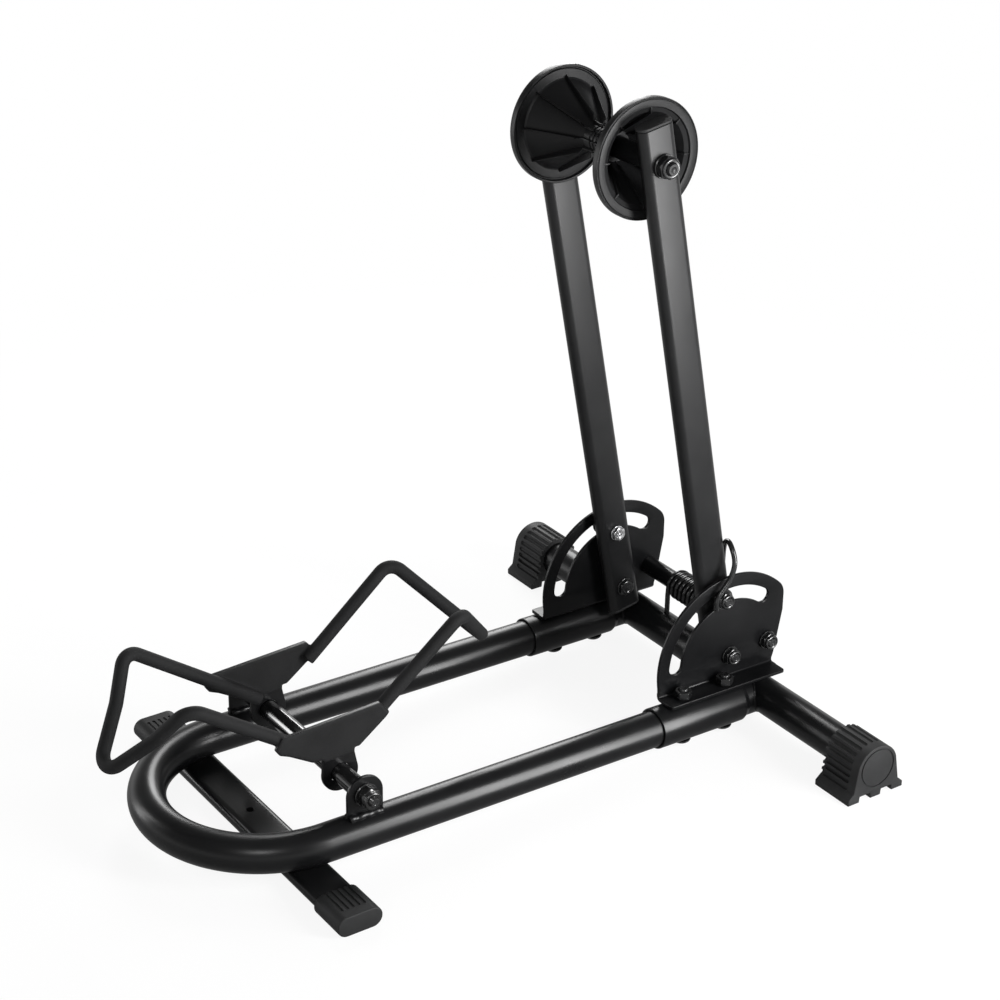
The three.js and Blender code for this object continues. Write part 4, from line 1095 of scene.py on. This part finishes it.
cradleSeat = tabCentre + cradle["tabThickness"] / 2 + seatGap
cradleBolt = hexBolt(cradleSeat + cradle["boltReach"], -cradleSeat, m8["radius"], m8["flats"],
                     m8["head"] + 1.4, m8["washerRadius"], 16)
fitted("cradleBolt", cradleBolt, cradlePlace, boltCoat, "frame", ["cradle_bolt"], 30)
cradleNut = lockNut(cradle["nutFlats"], cradle["nutHeight"], cradle["nutWasherRadius"], m8["washer"],
                    m8["radius"] + 0.1, cradle["nutCollar"])
fitted("cradleNut", onSeats(cradleNut, [((cradleSeat, 0, 0), 0)], boltCoat), cradlePlace, boltCoat, "frame",
       ["cradle_nut"], 30)
print("cradle made")

# Coil spring.

# the moving leg, from behind the right arm to its hook over the slot bolt:
# place along X, behind the arm's middle line and above the pivot
springLeg = (
    (62, 21, 88), (69, 19, 97), (75, 18.4, 101), (80, 16.6, 100), (84.5, 15, 95.5), (87.5, 14, 89.5),
    (88.5, 12, 83.5), (88.5, 8, 77), (88.5, 2.6, 71.5), (88.5, -3, 67.8), (88.5, -8, 64.5),
    (88.5, -11, 59), (88.5, -11.2, 53),
)


def springLine():
    s = spring
    seatY = spacerY - coilRadius
    tubeTop = crossRise + crossTube["radius"]
    line = [(s["leftX"], seatY, tubeTop - 6), (s["leftX"], seatY, spacerZ - 8)]
    coil = []
    steps = s["turns"] * s["stepsPerTurn"]
    for i in range(steps + 1):
        angle = math.pi - 2 * math.pi * i / s["stepsPerTurn"]
        coil.append((s["leftX"] + s["pitch"] * i / s["stepsPerTurn"], spacerY + coilRadius * math.cos(angle),
                     spacerZ + coilRadius * math.sin(angle)))
    lean = math.radians(arm["lean"])
    leg = []
    for x, behind, above in springLeg:
        leg.append((x, pivot["y"] + behind * math.cos(lean) - above * math.sin(lean),
                    pivot["z"] + behind * math.sin(lean) + above * math.cos(lean)))
    x, y, z = coil[-1]
    leg = flowing([coil[-1], (x + 1, y - 0.4, z + 5), *leg], 12)
    for repeat in range(70):  # eases the bends of the leg
        leg = [leg[0]] + [(leg[i - 1] + leg[i + 1]) / 2 for i in range(1, len(leg) - 1)] + [leg[-1]]
    return line + coil[2:-2] + leg


fitted("coilSpring", tube(springLine(), spring["wire"], 20, springCoat), basePlace, springCoat, "frame",
       ["torsion_spring"], 60)
print("spring made")

# Floor, light and camera.

# the near-gloss values dim the floor's glow, as gloss sees it beside the stand: painted shade
studio = {
    "floorSize": 14, "floorColour": 0.95, "floorGlow": 0.89, "fadeFrom": 0.4, "fadeTo": 1.1, "ceiling": 0.24,
    "horizonTop": 0.1, "ceilingFrom": 0.34, "paintedShadeGlow": 0.28, "paintedShadeFrom": 0.25, "paintedShadeTo": 0.95,
}


def seenDirectly(tree):
    # 1 for rays from the camera, from gloss and through glass
    path = addNode(tree, "ShaderNodeLightPath", {})
    total = path.outputs["Is Camera Ray"]
    for kind in ("Is Glossy Ray", "Is Transmission Ray"):
        total = mathNode(tree, "MAXIMUM", total, path.outputs[kind])
    return total


def floorFinish():
    # white to the eye, matt enough round the stand to keep its shadow
    s = studio
    finish = bpy.data.materials.new("paleFloor")
    finish.use_nodes = True
    tree = finish.node_tree
    tree.nodes.clear()
    matt = addNode(tree, "ShaderNodeBsdfDiffuse", {"Color": (s["floorColour"],) * 3 + (1,)})
    place = addNode(tree, "ShaderNodeNewGeometry", {}).outputs["Position"]
    distance = addNode(tree, "ShaderNodeVectorMath", {0: place}, operation="LENGTH").outputs["Value"]
    fade = mapped(tree, distance, s["fadeFrom"], s["fadeTo"], s["floorGlow"], 1.0)
    # painted shade: gloss sees the floor's glow dimmer beside the stand, standing in for the stand's shade in
    # reflections
    paintedShade = mapped(tree, distance, s["paintedShadeFrom"], s["paintedShadeTo"], s["paintedShadeGlow"], 1.0)
    path = addNode(tree, "ShaderNodeLightPath", {})
    strength = mathNode(tree, "MAXIMUM", paintedShade, path.outputs["Is Camera Ray"])
    glow = addNode(tree, "ShaderNodeEmission", {"Color": (1, 1, 1, 1), "Strength": strength})
    share = mathNode(tree, "MULTIPLY", seenDirectly(tree), fade)
    mix = addNode(tree, "ShaderNodeMixShader", {0: share, 1: matt.outputs[0], 2: glow.outputs[0]})
    addNode(tree, "ShaderNodeOutputMaterial", {"Surface": mix.outputs[0]})
    return finish


def layFloor():
    half = studio["floorSize"] / 2
    mesh = bpy.data.meshes.new("floor")
    corners = [(-half, -half, 0), (half, -half, 0), (half, half, 0), (-half, half, 0)]
    mesh.from_pydata(corners, [], [(0, 1, 2, 3)])
    mesh.materials.append(floorFinish())
    floor = bpy.data.objects.new("floor", mesh)
    floor.location.z = -0.0003
    scene.collection.objects.link(floor)


def lightWorld():
    # a white backdrop round the horizon and a dim ceiling
    world = bpy.data.worlds.new("studio")
    world.use_nodes = True
    scene.world = world
    tree = world.node_tree
    place = addNode(tree, "ShaderNodeTexCoord", {}).outputs["Generated"]
    height = addNode(tree, "ShaderNodeSeparateXYZ", {0: place}).outputs["Z"]
    high = mapped(tree, height, studio["horizonTop"], studio["ceilingFrom"], 1.0, 0.0)
    shown = mathNode(tree, "MULTIPLY", high, seenDirectly(tree))
    path = addNode(tree, "ShaderNodeLightPath", {})
    whole = mathNode(tree, "MAXIMUM", shown, path.outputs["Is Camera Ray"])
    level = mapped(tree, whole, 0.0, 1.0, studio["ceiling"], 1.0)
    feed(tree, tree.nodes["Background"], {"Color": (1, 1, 1, 1), "Strength": level})


lamps = (
    # name, place, aimed at, width, height, power
    ("sideBox", (1.15, 0.64, 0.42), (0.0, 0.0, 0.22), 0.34, 1.0, 32),
    ("overheadBox", (-0.92, 0.63, 0.8), (0.0, 0.0, 0.1), 0.4, 0.9, 12),
    ("frontBox", (-1.15, -1.0, 0.4), (0.0, -0.1, 0.2), 0.25, 0.9, 6),
    ("cameraBox", (1.2, -0.95, 1.2), (0.0, 0.0, 0.2), 0.4, 0.4, 8),
)


def hangLamps():
    for name, place, target, width, height, power in lamps:
        light = bpy.data.lights.new(name, "AREA")
        light.shape = "RECTANGLE"
        light.size, light.size_y = width, height
        light.energy = power
        lamp = bpy.data.objects.new(name, light)
        lamp.location = place
        lamp.rotation_euler = (Vector(target) - Vector(place)).to_track_quat("-Z", "Y").to_euler()
        lamp.visible_camera = False
        scene.collection.objects.link(lamp)


view = {
    "target": (-0.00332, 0.06525, 0.21664), "azimuth": 56.16, "elevation": 25.76, "distance": 1.86736,
    "lens": 85,
}


def setCamera():
    azimuth, elevation = math.radians(view["azimuth"]), math.radians(view["elevation"])
    look = Vector((-math.sin(azimuth) * math.cos(elevation), math.cos(azimuth) * math.cos(elevation),
                   -math.sin(elevation)))
    data = bpy.data.cameras.new("camera")
    data.lens = view["lens"]
    data.sensor_width = 36
    data.clip_end = 50
    camera = bpy.data.objects.new("camera", data)
    camera.location = Vector(view["target"]) - look * view["distance"]
    camera.rotation_euler = look.to_track_quat("-Z", "Y").to_euler()
    scene.collection.objects.link(camera)
    scene.camera = camera


layFloor()
lightWorld()
hangLamps()
setCamera()
scene.view_settings.view_transform = "Standard"
print("studio set")
